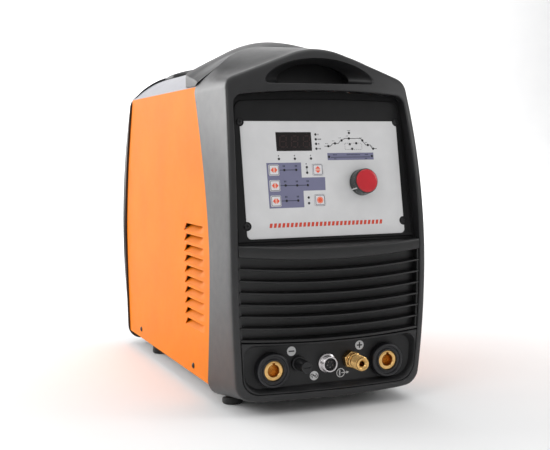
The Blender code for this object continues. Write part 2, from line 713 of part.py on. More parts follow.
def front_grille():
    """The slatted air inlet, whose top is the shelf under the fascia."""
    back = 0.0145 - RIM_Y
    lower_half = window_half(GRILLE_LOW, FRONT_RIM, FRONT_LOW) - 0.0005
    upper_half = window_half(DECK_Z, FRONT_RIM, FRONT_LOW) - 0.0005
    rings = []
    for share in across(1.0, 15):
        x, top_x = share * lower_half, share * upper_half
        low, top = GRILLE_LOW - sag(x, 0.003), DECK_Z - 0.0006 - sag(top_x, 0.0047)
        rings.append([(x, face_depth(x, low) + 0.0010 - RIM_Y, low), (x, back, low),
                      (top_x, back, DECK_Z - 0.0006), (top_x, face_depth(top_x, top) + 0.0030 - RIM_Y, top),
                      (top_x, face_depth(top_x, top) + 0.0010 - RIM_Y, top - 0.0022)])
    grille = add("front_grille", loft_mesh("front_grille", rings), "dark_plastic")
    for k in range(SLAT_COUNT):
        top = SLAT_TOP - k * SLAT_PITCH
        slot = []
        for x in across(window_half(top - SLAT_PITCH, FRONT_RIM, FRONT_LOW) - 0.0020, 11):
            high = top - sag(x, DROOP - 0.0003 * k)
            slot.append([(x, y, z) for y, z in ((-0.022 - RIM_Y, high), (-0.022 - RIM_Y, high - 0.0104),
                                                (back + 0.005, high - 0.0104), (back + 0.005, high))])
        cut(grille, add_cutter(f"slat_gap_{k + 1}", loft_mesh(f"slat_gap_{k + 1}", slot)))


def pan_outline(margin, low, high, low_r, high_r, sag_by):
    """The window's foot as a rounded outline, with extra points along its top and bottom."""
    half = window_half(low, FRONT_RIM, FRONT_LOW) - margin
    points = [(x, low) for x in across(half - low_r, 7)[1:-1]]
    corners = [(1, low, low_r, -90), (1, high, high_r, 0), (-1, high, high_r, 90), (-1, low, low_r, 180)]
    for side, edge, radius, start in corners:
        centre_x = side * (half - radius)
        centre_z = edge + radius if edge == low else edge - radius
        for step in range(5):
            angle = math.radians(start + 22.5 * step)
            points.append((centre_x + radius * math.cos(angle), centre_z + radius * math.sin(angle)))
        if start == 0:
            points += [(x, high) for x in across(half - high_r, 7)[-2:0:-1]]
    placed = []
    for x, z in points:
        widen = (window_half(z, FRONT_RIM, FRONT_LOW) - margin) / half
        placed.append((x * widen, z - (sag(x, sag_by) if z > (low + high) / 2 else 0)))
    return placed


def connector_panel():
    outer = pan_outline(0.0006, 0.0252, 0.0834, 0.0196, 0.0010, 0.003)
    lip = pan_outline(0.0018, 0.0270, 0.0815, 0.0205, 0.0180, 0.003)
    floor = pan_outline(0.0045, 0.0300, 0.0785, 0.0190, 0.0150, 0.003)

    def face(x, z):
        return face_depth(x, z) + 0.0008

    depth = CONNECTOR_Y + RIM_Y
    rings = [ring(outer, depth + 0.004, FRONT), ring(outer, face, FRONT), ring(lip, face, FRONT),
             ring(floor, depth, FRONT)]
    panel = add("connector_panel", loft_mesh("connector_panel", rings), "dark_plastic")
    for name, (x, z, radius) in CONNECTOR_HOLES.items():
        hole = cylinder_mesh(name + "_hole", radius, -0.02, 0.02, 24)
        cut(panel, add_cutter(name + "_hole", hole, (x, CONNECTOR_Y, z), (math.pi / 2, 0, 0)))


def connectors():
    """Welding sockets, torch control connector, gas outlet and fuse holder, each facing the front."""
    def place(key):
        x, z, _ = CONNECTOR_HOLES[key]
        return x, CONNECTOR_Y, z

    collar = [(0.0114, 0.0100), (0.0182, 0.0100), (0.0195, 0.0085), (0.0195, GAP), (0.0127, GAP),
              (0.0127, -0.0200), (0.0114, -0.0200)]
    contact = [(0, -0.0120), (0.0065, -0.0120), (0.0065, 0.0090), (0.0110, 0.0090), (0.0110, -0.0240),
               (0.0050, -0.0240), (0.0050, -0.0380), (0, -0.0380)]
    for side in ("left", "right"):
        spot = place("socket_" + side)
        turned("socket_collar_" + side, collar, "dark_plastic", spot, "FRONT", 24, bore=True)
        turned("socket_contact_" + side, contact, "brass", spot, "FRONT", 20)
    shell = [(0.0070, 0.0110), (0.0090, 0.0110), (0.0090, 0.0030), (0.0108, 0.0024), (0.0108, GAP),
             (0.0085, GAP), (0.0085, -0.0100), (0.0070, -0.0100)]
    turned("torch_connector_shell", shell, "nickel", place("torch"), "FRONT", 20, bore=True)
    insert = [(0, 0.0075), (0.0067, 0.0075), (0.0067, -0.0110), (0, -0.0110)]
    turned("torch_connector_insert", insert, "dark_plastic", place("torch"), "FRONT", 16)
    reach = TIP_Y - RIM_Y + 0.014
    outlet = [(0, -0.0150), (0.0030, -0.0150), (0.0030, reach), (0.0070, reach), (0.0080, reach - 0.001),
              (0.0080, 0.0140), (0.0070, 0.0130), (0.0070, 0.0110), (0.0105, 0.0100), (0.0105, GAP),
              (0.0075, GAP), (0.0075, -0.0200), (0, -0.0200)]
    turned("gas_outlet", outlet, "brass", place("gas"), "FRONT", 18)
    holder = [(0, 0.0040), (0.0085, 0.0034), (0.0085, GAP), (0.0060, GAP), (0.0060, -0.0280), (0, -0.0280)]
    turned("fuse_holder", holder, "dark_plastic", place("fuse"), "FRONT", 16)
    cap = [(0, 0.0260), (0.0058, 0.0260), (0.0066, 0.0250), (0.0066, 0.0044), (0, 0.0044)]
    turned("fuse_cap", cap, "dark_plastic", place("fuse"), "FRONT", 16)


# Rear panel
def to_rear(at, behind=0.0):
    return at[0], REAR_PLATE_Y - behind, at[1]


def rear_panel():
    outline = inset(REAR_WINDOW, 0.0005)
    plate = add("rear_panel", prism_mesh("rear_panel", outline, 0, PLATE), "grey_steel",
                (0, REAR_PLATE_Y, 0), (math.pi / 2, 0, 0))
    rows = []
    for k in range(-4, 5):
        z = k * 0.0120
        rows.append(((2 * math.sqrt(0.055**2 - z**2), 0.02, 0.0070), (0, 0, z)))
    cut(plate, add_cutter("fan_slots", boxes_mesh("fan_slots", rows), (0, REAR_PLATE_Y, FAN_Z)))
    cut(plate, add_cutter("switch_hole", box_mesh("switch_hole", (0.0225, 0.02, 0.0295)), to_rear(SWITCH_AT)))
    for name, at, radius in (("gland_hole", GLAND_AT, 0.0083), ("inlet_hole", INLET_AT, 0.0068)):
        hole = cylinder_mesh(name, radius, -0.01, 0.01)
        cut(plate, add_cutter(name, hole, to_rear(at), (math.pi / 2, 0, 0)))


def fan():
    """The cooling fan behind the rear panel: a square frame with a cross that carries the rotor."""
    deep, near = 0.025, PLATE + GAP
    middle = (0, REAR_PLATE_Y - near - deep / 2, FAN_Z)
    frame = add("fan_frame", box_mesh("fan_frame", (0.120, deep, 0.120)), "dark_plastic", middle)
    bore = cylinder_mesh("fan_bore", 0.0578, -0.03, 0.03, 32)
    cut(frame, add_cutter("fan_bore", bore, middle, (math.pi / 2, 0, 0)))
    for k, size in enumerate(((0.118, 0.003, 0.006), (0.006, 0.003, 0.118))):
        arm = box_mesh(f"fan_arm_{k}", size, (0, -deep / 2 + 0.002, 0))
        cut(frame, add_cutter(f"fan_arm_{k}", arm, middle), "UNION")
    # each blade from its root at the hub round its tip, as a radius and an angle
    blade_points = ((0.0180, 0), (FAN_R - 0.0015, 6), (FAN_R - 0.0005, 22), (0.0185, 12), (0.0180, 32))
    rings = []
    for low, twist in ((-0.0060, 0.0), (0.0, 11.0), (0.0060, 22.0)):
        loop = []
        for blade in range(BLADES):
            for radius, angle in blade_points:
                turn = math.radians(blade * 360 / BLADES + angle + twist)
                loop.append((radius * math.cos(turn), radius * math.sin(turn), low))
        rings.append(loop)
    add("fan_rotor", loft_mesh("fan_rotor", rings), "dark_plastic",
        (0, REAR_PLATE_Y - near - deep / 2 + 0.002, FAN_Z), (-math.pi / 2, 0, 0))


def power_switch():
    body = add("switch_body", box_mesh("switch_body", (0.0215, 0.0240, 0.0285), (0, -0.0100, 0)),
               "dark_plastic", to_rear(SWITCH_AT))
    flange = box_mesh("switch_flange", (0.0250, 0.0020, 0.0320), (0, 0.0014, 0))
    cut(body, add_cutter("switch_flange", flange, to_rear(SWITCH_AT)), "UNION")
    pocket = box_mesh("switch_pocket", (0.0185, 0.0300, 0.0256), (0, 0.0050, 0))
    cut(body, add_cutter("switch_pocket", pocket, to_rear(SWITCH_AT)))
    profile = [(-0.0050, -0.0112), (0.0038, -0.0119), (0.0022, 0), (0.0038, 0.0119), (-0.0050, 0.0112)]
    # pressed in at its lower end, which is off
    rocker = add("switch_rocker", prism_mesh("switch_rocker", profile, -0.0088, 0.0088), "dark_plastic",
                 to_rear(SWITCH_AT))
    upright = Matrix.Rotation(math.pi / 2, 4, "Z") @ Matrix.Rotation(math.pi / 2, 4, "X")
    tilt = Matrix.Rotation(-ROCKER_TILT, 4, "X")
    rocker.matrix_world = Matrix.Translation(to_rear(SWITCH_AT)) @ tilt @ upright


def rear_fittings():
    reach = TIP_Y - REAR_PLATE_Y
    barb = [(0, -0.0120), (0.0020, -0.0120), (0.0020, reach), (0.0036, reach)]
    for k in range(3):
        barb += [(0.0048, reach - 0.0050 - 0.006 * k), (0.0040, reach - 0.0055 - 0.006 * k)]
    barb += [(0.0040, 0.0110), (0.0095, 0.0105), (0.0095, GAP), (0.0064, GAP)]
    barb += [(0.0064, -0.0140), (0, -0.0140)]
    turned("gas_inlet", barb, "brass", to_rear(INLET_AT), "REAR", 14)
    gland = [(0.0060, 0.0220), (0.0088, 0.0220), (0.0110, 0.0150), (0.0125, 0.0145), (0.0125, GAP),
             (0.0080, GAP), (0.0080, -0.0100), (0.0060, -0.0100)]
    turned("cable_gland", gland, "dark_plastic", to_rear(GLAND_AT), "REAR", 16, bore=True)


# Inside
def finned_sink():
    """An extruded aluminium heat sink, fins up, as long as the power stage."""
    half, low, base, high, fins = 0.070, TRAY_Z + 0.003, 0.008, 0.050, 8
    outline = [(half, low)]
    pitch = 2 * half / (fins * 2 - 1)
    for i in range(fins):
        right = half - 2 * i * pitch
        outline += [(right, low + high), (right - pitch, low + high)]
        if i < fins - 1:
            outline += [(right - pitch, low + base), (right - 2 * pitch, low + base)]
    outline.append((-half, low))
    rings = [[(x, y, z) for x, z in outline] for y in SINK_Y]
    return loft_mesh("heat_sink", rings)


def ring_box(name, outer, window, centre, finish):
    """A rectangular ring, open through Y."""
    piece = add(name, box_mesh(name, outer, centre), finish)
    hole = box_mesh(name + "_window", (window[0], outer[1] + 0.02, window[1]), centre)
    cut(piece, add_cutter(name + "_window", hole))


def internals():
    add("chassis_tray", box_mesh("chassis_tray", (0.2120, 0.300, 0.0015), (0, 0.040, TRAY_Z)), "zinc_steel")
    add("heat_sink", finned_sink(), "aluminium")
    board_z = TRAY_Z + 0.062
    add("inverter_board", box_mesh("inverter_board", (0.190, 0.220, 0.0016), (0, 0.030, board_z)),
        "circuit_board")
    stand = board_z + 0.0008 + GAP
    can = [(0, 0.045), (0.0165, 0.045), (0.0175, 0.044), (0.0175, 0), (0, 0)]
    turned("filter_capacitor", can, "aluminium", (-0.050, 0.080, stand), steps=16)
    bobbin = [(0, 0.030), (0.018, 0.030), (0.018, 0.026), (0.013, 0.026), (0.013, 0.004), (0.018, 0.004),
              (0.018, 0), (0, 0)]
    turned("arc_starter_coil", bobbin, "copper", (0.050, -0.030, stand), steps=16)
    low = BASE_Z + BASE_THICK + GAP
    core_at = (-0.045, 0.060, low + 0.0375)
    ring_box("transformer_core", (0.080, 0.032, 0.075), (0.036, 0.035), core_at, "ferrite")
    winding = add("transformer_winding", box_mesh("transformer_winding", (0.034, 0.052, 0.034),
                  (core_at[0] - 0.029, core_at[1], core_at[2])), "copper")
    limb = box_mesh("winding_hole", (0.0228, 0.0328, 0.060), (core_at[0] - 0.029, core_at[1], core_at[2]))
    cut(winding, add_cutter("winding_hole", limb))
    choke = [(0.0390, 0.0170), (0.0390, 0.0050), (0.0340, 0), (0.0200, 0), (0.0150, 0.0050),
             (0.0150, 0.0170), (0.0200, 0.0220), (0.0340, 0.0220)]
    turned("output_choke", choke, "copper", (0.050, 0.060, low), steps=20, bore=True)
    valve = add("solenoid_valve", box_mesh("solenoid_valve", (0.032, 0.026, 0.022), bevel=0.001), "brass",
                (INLET_AT[0], REAR_PLATE_Y - 0.0145 - 0.0130, INLET_AT[1]))
    coil = cylinder_mesh("valve_coil", 0.012, 0, 0.038, 16)
    cut(valve, add_cutter("valve_coil", coil, valve.location), "UNION")
    hose()
    for name, side in (("busbar_minus", -1), ("busbar_plus", 1)):
        start = CONNECTOR_Y + 0.0380 + GAP
        bar = box_mesh(name, (0.022, 0.070, 0.003), (side * SOCKET_X, start + 0.035, SOCKET_Z))
        add(name, bar, "copper")


def hose():
    """The gas hose from the solenoid valve to the outlet's rear end, along the right side."""
    x0, z0, _ = CONNECTOR_HOLES["gas"]
    start = Vector((x0, CONNECTOR_Y + 0.0200 + 0.0005, z0))
    end = Vector((INLET_AT[0], REAR_PLATE_Y - 0.0145 - 0.0260 - 0.0005, INLET_AT[1]))
    bend_out, bend_in = start + Vector((0, 0.10, 0)), end - Vector((0, 0.18, 0))
    curve = bpy.data.curves.new("gas_hose", "CURVE")
    curve.dimensions, curve.bevel_depth, curve.bevel_resolution = "3D", 0.0040, 2
    curve.use_fill_caps = True
    spline = curve.splines.new("POLY")
    count = 18
    spline.points.add(count - 1)
    for i in range(count):
        t = i / (count - 1)
        back = 1 - t
        point = start * back**3 + bend_out * 3 * t * back**2 + bend_in * 3 * t**2 * back + end * t**3
        spline.points[i].co = (*point, 1.0)
    add("gas_hose", curve, "gas_hose")


bezels()
casing()
handle()
control_face()
controls()
front_grille()
connector_panel()
connectors()
rear_panel()
fan()
power_switch()
rear_fittings()
internals()
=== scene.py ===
"""Looks for the TIG welding machine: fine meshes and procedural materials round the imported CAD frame.

Metres, in the frame's own axes: X across, the front faces -Y, +Z up, the floor at Z 0. The profiles of
turned pieces and the printing are in millimetres.
"""

import math

import bmesh
import bpy
from mathutils import Matrix, Vector


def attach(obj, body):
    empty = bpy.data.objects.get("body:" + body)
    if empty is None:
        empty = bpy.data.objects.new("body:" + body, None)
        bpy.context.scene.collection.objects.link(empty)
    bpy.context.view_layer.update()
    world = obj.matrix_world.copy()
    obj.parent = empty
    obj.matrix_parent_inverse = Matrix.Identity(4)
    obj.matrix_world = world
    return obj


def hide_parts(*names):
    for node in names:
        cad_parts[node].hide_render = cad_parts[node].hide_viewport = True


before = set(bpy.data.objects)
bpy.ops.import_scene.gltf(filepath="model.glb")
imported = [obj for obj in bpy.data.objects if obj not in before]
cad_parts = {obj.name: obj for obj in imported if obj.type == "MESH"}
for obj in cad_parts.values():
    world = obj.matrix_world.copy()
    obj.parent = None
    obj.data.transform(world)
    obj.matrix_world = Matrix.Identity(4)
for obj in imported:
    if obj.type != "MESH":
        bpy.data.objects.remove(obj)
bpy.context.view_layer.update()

# Dimensions of the casing
RIM_Y = 0.2535  # distance from the middle to the plane of each bezel's foremost edge
TIP_Y = 0.2735
HALF_WIDTH, INNER_HALF = 0.1188, 0.117
WIDEST_Z = 0.17
BOTTOM_Z = 0.0173
CORNER_R = 0.02
CORNER_TOP = BOTTOM_Z + CORNER_R
BOTTOM_DROP = 0.011
SHOULDER_X, SHOULDER_Z = 0.1, 0.3565
CROWN_Z = 0.4048
CROWN_ROUND = 0.033
CROWN_SLOPE = math.tan(math.radians(20.6))
BOW, BOW_HALF = 0.011, 0.115
FRONT_RIM, REAR_RIM = 0.0083, 0.013
FRONT_LOW, REAR_LOW = 0.0246, 0.03
FRONT_BROW, REAR_BROW = 0.3525, 0.296
WALL, SHEET = 0.003, 0.0012
PANEL_X, PANEL_BOTTOM, PANEL_TOP = 0.114, 0.019, 0.3655
FASCIA_TILT = math.atan2(0.0218, 0.128)
FASCIA_Y, FASCIA_Z = 0.0128 - RIM_Y, 0.1948
DECK_Z = 0.19
CONNECTOR_Y = 0.014 - RIM_Y
REAR_PLATE_Y = RIM_Y - 0.02
FAN_Z, FAN_R = 0.205, 0.0565
FRONT, REAR = -1, 1
BAND_CROWN_Z = {FRONT: 0.415, REAR: 0.406}  # top of each bezel's inner edge, which falls
BAND_CUBE = {FRONT: 30.0, REAR: 27.0}  # with the cube of X
MM = 0.001


# Materials
class Look:
    """One procedural material, drawn in the object's own metres."""

    def __init__(self, name, roughness, metallic=0.0, specular=0.5):
        self.material = bpy.data.materials.new(name)
        self.material.use_nodes = True
        self.tree = self.material.node_tree
        self.shader = self.tree.nodes["Principled BSDF"]
        self.shader.inputs["Roughness"].default_value = roughness
        self.shader.inputs["Metallic"].default_value = metallic
        self.shader.inputs["Specular IOR Level"].default_value = specular
        self.place = self.add("ShaderNodeTexCoord").outputs["Object"]
        self.normal = None

    def add(self, kind, **values):
        made = self.tree.nodes.new(kind)
        for key, value in values.items():
            made.inputs[key.replace("_", " ")].default_value = value
        return made

    def wire(self, source, socket):
        self.tree.links.new(source, socket)

    def stretched(self, stretch):
        if stretch == (1, 1, 1):
            return self.place
        mapping = self.add("ShaderNodeMapping", Scale=stretch)
        self.wire(self.place, mapping.inputs["Vector"])
        return mapping.outputs["Vector"]

    def noise(self, scale, detail=3.0, stretch=(1, 1, 1)):
        made = self.add("ShaderNodeTexNoise", Scale=scale, Detail=detail)
        self.wire(self.stretched(stretch), made.inputs["Vector"])
        return made.outputs["Fac"]

    def cells(self, scale, feature="F1", output="Distance"):
        made = self.add("ShaderNodeTexVoronoi", Scale=scale)
        made.feature = feature
        self.wire(self.place, made.inputs["Vector"])
        return made.outputs[output]

    def bands(self, scale, direction, distortion=0.0):
        made = self.add("ShaderNodeTexWave", Scale=scale, Distortion=distortion)
        made.bands_direction = direction
        self.wire(self.place, made.inputs["Vector"])
        return made.outputs["Fac"]

    def ramp(self, factor, *stops):
        made = self.tree.nodes.new("ShaderNodeValToRGB")
        elements = made.color_ramp.elements
        while len(elements) < len(stops):
            elements.new(0.5)
        for element, (at, colour) in zip(elements, stops):
            element.position, element.color = at, (*colour, 1.0)
        self.wire(factor, made.inputs["Fac"])
        return made.outputs["Color"]

    def mix(self, factor, first, second):
        made = self.tree.nodes.new("ShaderNodeMix")
        made.data_type = "RGBA"
        for source, socket in ((factor, 0), (first, 6), (second, 7)):
            self.wire(source, made.inputs[socket])
        return made.outputs[2]

    def colour(self, source):
        self.wire(source, self.shader.inputs["Base Color"])
        return self

    def gloss(self, factor, low, high):
        made = self.add("ShaderNodeMapRange", To_Min=low, To_Max=high)
        self.wire(factor, made.inputs["Value"])
        self.wire(made.outputs["Result"], self.shader.inputs["Roughness"])
        return self

    def bump(self, height, depth):
        made = self.add("ShaderNodeBump", Strength=1.0, Distance=depth)
        self.wire(height, made.inputs["Height"])
        if self.normal:
            self.wire(self.normal, made.inputs["Normal"])
        self.normal = made.outputs["Normal"]
        self.wire(self.normal, self.shader.inputs["Normal"])
        return self


def shade(colour, share):
    return tuple(channel * share for channel in colour)


GRAIN_PITCH, PIT_PITCH, MARK_PITCH = 1100, 770, 900


def moulded(name, colour, roughness, specular=0.5, grain=0.00005):
    """Spark-eroded plastic: fine grain, faint flow clouding and a patchy sheen."""
    look = Look(name, roughness, 0.0, specular)
    look.colour(look.ramp(look.noise(38, 5), (0.3, shade(colour, 0.84)), (0.72, shade(colour, 1.16))))
    look.gloss(look.noise(85, 4), roughness - 0.05, roughness + 0.06)
    look.bump(look.noise(GRAIN_PITCH, 2), grain)
    return look.bump(look.cells(PIT_PITCH), grain * 0.6).material


def powder_coat(name, colour, roughness, specular=0.5):
    """Baked powder coat: orange-peel skin over sheet steel, with slight clouding."""
    look = Look(name, roughness, 0.0, specular)
    look.colour(look.ramp(look.noise(16, 4), (0.3, shade(colour, 0.93)), (0.7, shade(colour, 1.05))))
    look.gloss(look.noise(120, 3), roughness - 0.04, roughness + 0.05)
    look.bump(look.noise(520, 2), 0.00004)
    return look.bump(look.noise(1700, 1), 0.000015).material


def machined(name, colour, roughness, stretch=(1, 1, 1)):
    """Bare metal with tool marks along one direction and a little tarnish."""
    look = Look(name, roughness, 1.0)
    tarnish = look.ramp(look.noise(140, 5), (0.28, shade(colour, 0.7)), (0.62, colour))
    look.colour(tarnish)
    look.gloss(look.noise(MARK_PITCH, 3, stretch), roughness - 0.06, roughness + 0.1)
    return look.bump(look.noise(MARK_PITCH, 2, stretch), 0.00002).material


def film(name, colour, roughness):
    """Printed polyester film with a fine matt tooth."""
    look = Look(name, roughness, 0.0, 0.4)
    look.colour(look.ramp(look.noise(55, 4), (0.3, shade(colour, 0.965)), (0.7, shade(colour, 1.02))))
    look.gloss(look.noise(300, 3), roughness - 0.05, roughness + 0.05)
    return look.bump(look.noise(2600, 1), 0.000008).material


def galvanised(name):
    """Zinc-coated steel with its spangle."""
    look = Look(name, 0.38, 0.9)
    spangle = look.cells(130, output="Color")
    look.colour(look.ramp(spangle, (0.2, (0.36, 0.37, 0.38)), (0.8, (0.62, 0.63, 0.63))))
    look.gloss(spangle, 0.28, 0.46)
    return look.bump(look.noise(900, 2), 0.00002).material


def circuit_board(name):
    """Green solder mask over copper tracks and pads."""
    look = Look(name, 0.35)
    edges = look.cells(230, "DISTANCE_TO_EDGE")
    tracks = look.ramp(edges, (0.1, (0.012, 0.1, 0.045)), (0.14, (0.02, 0.2, 0.08)))
    pads = look.ramp(look.cells(230), (0.16, (0.72, 0.66, 0.5)), (0.2, (0.02, 0.17, 0.07)))
    look.colour(look.mix(look.noise(60), tracks, pads))
    return look.bump(edges, 0.00006).material


def windings(name):
    """Enamelled copper wire lying turn by turn, darker in the grooves between turns: painted shade."""
    look = Look(name, 0.3, 1.0)
    turns = look.bands(260, "Z", 0.4)
    # Dark where the bands dip into the grooves between turns: painted shade.
    look.colour(look.ramp(turns, (0.1, (0.24, 0.07, 0.03)), (0.65, (0.8, 0.34, 0.16))))
    return look.bump(turns, 0.0005).material


def sintered(name):
    """Ferrite: matt grey-black ceramic with pits."""
    look = Look(name, 0.62)
    look.colour(look.ramp(look.noise(420, 6), (0.35, (0.045, 0.045, 0.05)), (0.65, (0.1, 0.1, 0.105))))
    return look.bump(look.cells(700), 0.0001).material


def rubbery(name, colour, ribs=0.0):
    """Matt moulded rubber, with bands across it where ribs is set."""
    look = Look(name, 0.72, 0.0, 0.35)
    look.colour(look.ramp(look.noise(90, 5), (0.3, shade(colour, 0.8)), (0.7, shade(colour, 1.25))))
    look.bump(look.noise(1300, 3), 0.00007)
    if ribs:
        look.bump(look.bands(ribs, "Y"), 0.0004)
    return look.material


def tinted_glass(name):
    """Dark red window over the digits."""
    look = Look(name, 0.16, 0.0, 0.35)
    look.colour(look.ramp(look.noise(200, 2), (0.3, (0.006, 0.004, 0.0042)), (0.7, (0.0085, 0.005, 0.0052))))
    return look.bump(look.noise(500, 1), 0.000006).material


BLACK = (0.015, 0.015, 0.016)
LOOKS = {
    "bezel": moulded("bezel_plastic", BLACK, 0.4, 0.5),
    "handle": moulded("handle_plastic", BLACK, 0.44, 0.42),
    "fascia": moulded("fascia_plastic", (0.0085, 0.0085, 0.009), 0.5, 0.25, 0.00003),
    # The grille's plastic is darker than the bezel's so that the tops between the slats read dark: painted
    # shade of the grille's recess.
    "grille": moulded("grille_plastic_painted_shade", (0.0075, 0.0075, 0.008), 0.36, 0.5, 0.00002),
    "pan": moulded("connector_plastic", (0.021, 0.021, 0.022), 0.48, 0.35),
    "collar": moulded("socket_plastic", (0.01, 0.01, 0.012), 0.3, 0.5, 0.00002),
    "trim": moulded("trim_plastic", (0.012, 0.012, 0.013), 0.4, 0.4, 0.00003),
    "knob": moulded("knob_plastic", (0.022, 0.027, 0.025), 0.26, 0.6, 0.00002),
    "orange": powder_coat("orange_paint", (0.8, 0.205, 0.006), 0.5, 0.08),
    "grey": powder_coat("grey_paint", (0.3, 0.3, 0.335), 0.4, 0.5),
    "label": film("label_film", (0.68, 0.68, 0.685), 0.42),
    "print_dark": film("print_dark", (0.012, 0.012, 0.014), 0.45),
    "print_grey": film("print_grey", (0.1, 0.1, 0.11), 0.45),
    "print_purple": film("print_purple", (0.18, 0.182, 0.285), 0.45),
    "print_line": film("print_line", (0.035, 0.04, 0.07), 0.45),
    "print_red": film("print_red", (0.62, 0.06, 0.03), 0.45),
    "print_white": film("print_white", (0.72, 0.72, 0.72), 0.45),
    "print_orange": film("print_orange", (0.85, 0.115, 0.055), 0.45),
    "print_pale": film("print_pale", (0.95, 0.42, 0.26), 0.45),
    "key": film("key_white", (0.74, 0.73, 0.75), 0.32),
    "glass": tinted_glass("display_glass"),
    "digits": film("digit_red", (0.022, 0.0085, 0.0085), 0.35),
    "red": moulded("cap_red", (0.5, 0.012, 0.022), 0.22, 0.5, 0.00001),
    "brass": machined("brass_metal", (0.83, 0.52, 0.2), 0.22, (1, 6, 1)),
    "nickel": machined("nickel_metal", (0.66, 0.63, 0.64), 0.24),
    "steel": machined("screw_steel", (0.45, 0.45, 0.46), 0.3),
    "aluminium": machined("extruded_aluminium", (0.74, 0.75, 0.76), 0.34, (8, 0.4, 8)),
    "zinc": galvanised("galvanised_steel"),
    "board": circuit_board("board_green"),
    "copper": windings("copper_windings"),
    "busbar": machined("busbar_copper", (0.78, 0.36, 0.2), 0.28, (6, 1, 6)),
    "ferrite": sintered("ferrite_ceramic"),
    "rubber": rubbery("foot_rubber", (0.022, 0.022, 0.022)),
    "hose": rubbery("hose_rubber", (0.05, 0.05, 0.055), 300),
    "plate": film("plate_silver", (0.42, 0.42, 0.43), 0.35),
}


# Mesh makers: each adds one closed shape to a bmesh
def place_points(points, matrix):
    return [matrix @ Vector(point) for point in points] if matrix else points


def add_loft(work, rings, closed=False, matrix=None):
    """Skins rings of equally many points; the ends are capped, or joined where closed is True."""
    loops = [[work.verts.new(point) for point in place_points(ring, matrix)] for ring in rings]
    for first, second in zip(loops, loops[1:] + loops[:1] if closed else loops[1:]):
        for i in range(len(first)):
            j = (i + 1) % len(first)
            work.faces.new((first[i], first[j], second[j], second[i]))
    if not closed:
        work.faces.new(loops[0])
        work.faces.new(loops[-1])


def add_turned(work, profile, matrix=None, steps=64, bore=False, wave=None):
    """Turns a (radius, height) profile in millimetres about Z. wave(angle, height) scales the radius."""
    rings = []
    for radius, height in profile:
        ring = []
        for i in range(steps):
            angle = 2 * math.pi * i / steps
            reach = radius * MM * (wave(angle, height) if wave else 1.0)
            ring.append((reach * math.cos(angle), reach * math.sin(angle), height * MM))
        rings.append(ring)
    add_loft(work, rings, bore, matrix)


def inset(outline, distance):
    """Moves every point of an outline inwards by the distance, square to the outline."""
    moved = []
    for i, point in enumerate(outline):
        before, after = Vector(outline[i - 1]), Vector(outline[(i + 1) % len(outline)])
        along = (after - before).normalized()
        moved.append((point[0] - along.y * distance, point[1] + along.x * distance))
    return moved


def add_slab(work, outline, low, high, matrix=None, edge=0.0, steps=3):
    """A flat outline made solid from low to high, its top edge rounded by edge."""
    rings = [[(u, v, low) for u, v in outline]]
    for i in range(steps + 1 if edge else 1):
        turn = math.radians(90 * i / steps)
        inner = inset(outline, edge * (1 - math.cos(turn))) if edge else outline
        height = high - edge * (1 - math.sin(turn)) if edge else high
        rings.append([(u, v, height) for u, v in inner])
    add_loft(work, rings, False, matrix)


def arc(centre_u, centre_v, radius, start, end, steps):
    """Points from the start angle to the end angle, both in degrees."""
    turns = [math.radians(start + (end - start) * i / steps) for i in range(steps + 1)]
    return [(centre_u + radius * math.cos(turn), centre_v + radius * math.sin(turn)) for turn in turns]


def rounded(half_u, low_v, high_v, radius, steps=6, centre_u=0.0):
    """A rectangle with rounded corners, anticlockwise from the lower right."""
    points = []
    for side, middle, start in ((1, low_v + radius, -90), (1, high_v - radius, 0),
                                (-1, high_v - radius, 90), (-1, low_v + radius, 180)):
        points += arc(centre_u + side * (half_u - radius), middle, radius, start, start + 90, steps)
    return points


def round_box(work, size, centre, radius, matrix=None, edge=0.0004):
    """A block with rounded upright corners and softened top and bottom edges."""
    corners = rounded(size[0] / 2, -size[1] / 2, size[1] / 2, radius, 4)
    outline = [(u + centre[0], v + centre[1]) for u, v in corners]
    low, high = centre[2] - size[2] / 2, centre[2] + size[2] / 2
    small = inset(outline, edge)
    levels = ((small, low), (outline, low + edge), (outline, high - edge), (small, high))
    add_loft(work, lifted(levels), False, matrix)


def lifted(levels):
    """Rings for a loft, from (outline, height) pairs."""
    return [[(u, v, height) for u, v in outline] for outline, height in levels]


def circle(centre_u, centre_v, radius, steps=24):
    turns = [2 * math.pi * i / steps for i in range(steps)]
    return [(centre_u + radius * math.cos(a), centre_v + radius * math.sin(a)) for a in turns]


def fresh(add, *details, **options):
    """A new bmesh holding one shape, from one of the makers above."""
    work = bmesh.new()
    add(work, *details, **options)
    return work


def mesh_from(work, name="shape"):
    bmesh.ops.recalc_face_normals(work, faces=work.faces)
    mesh = bpy.data.meshes.new(name)
    work.to_mesh(mesh)
    work.free()
    return mesh


def carved(work, *cutters):
    """The shape with each cutter taken out of it, as one finished mesh."""
    helpers = [bpy.data.objects.new("carving", mesh_from(work))]
    for cutter_work in cutters:
        cutter = bpy.data.objects.new("cutter", mesh_from(cutter_work))
        modifier = helpers[0].modifiers.new("carve", "BOOLEAN")
        modifier.object, modifier.operation, modifier.solver = cutter, "DIFFERENCE", "EXACT"
        helpers.append(cutter)
    for helper in helpers:
        bpy.context.scene.collection.objects.link(helper)
    graph = bpy.context.evaluated_depsgraph_get()
    result = bpy.data.meshes.new_from_object(helpers[0].evaluated_get(graph))
    for helper in helpers:
        bpy.data.objects.remove(helper)
    return result


def piece(name, mesh, body, slot, look, *nodes, sharp=32):
    """One visible piece: it rides on a CAD body and stands for CAD nodes."""
    if isinstance(mesh, bmesh.types.BMesh):
        mesh = mesh_from(mesh, name)
    mesh.name = name
    mesh.materials.clear()
    mesh.materials.append(LOOKS[look])
    mesh.shade_smooth()
    mesh.set_sharp_from_angle(angle=math.radians(sharp))
    made = bpy.data.objects.new(name, mesh)
    bpy.context.scene.collection.objects.link(made)
    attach(made, body)
    if nodes:
        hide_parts(*nodes)
    return made


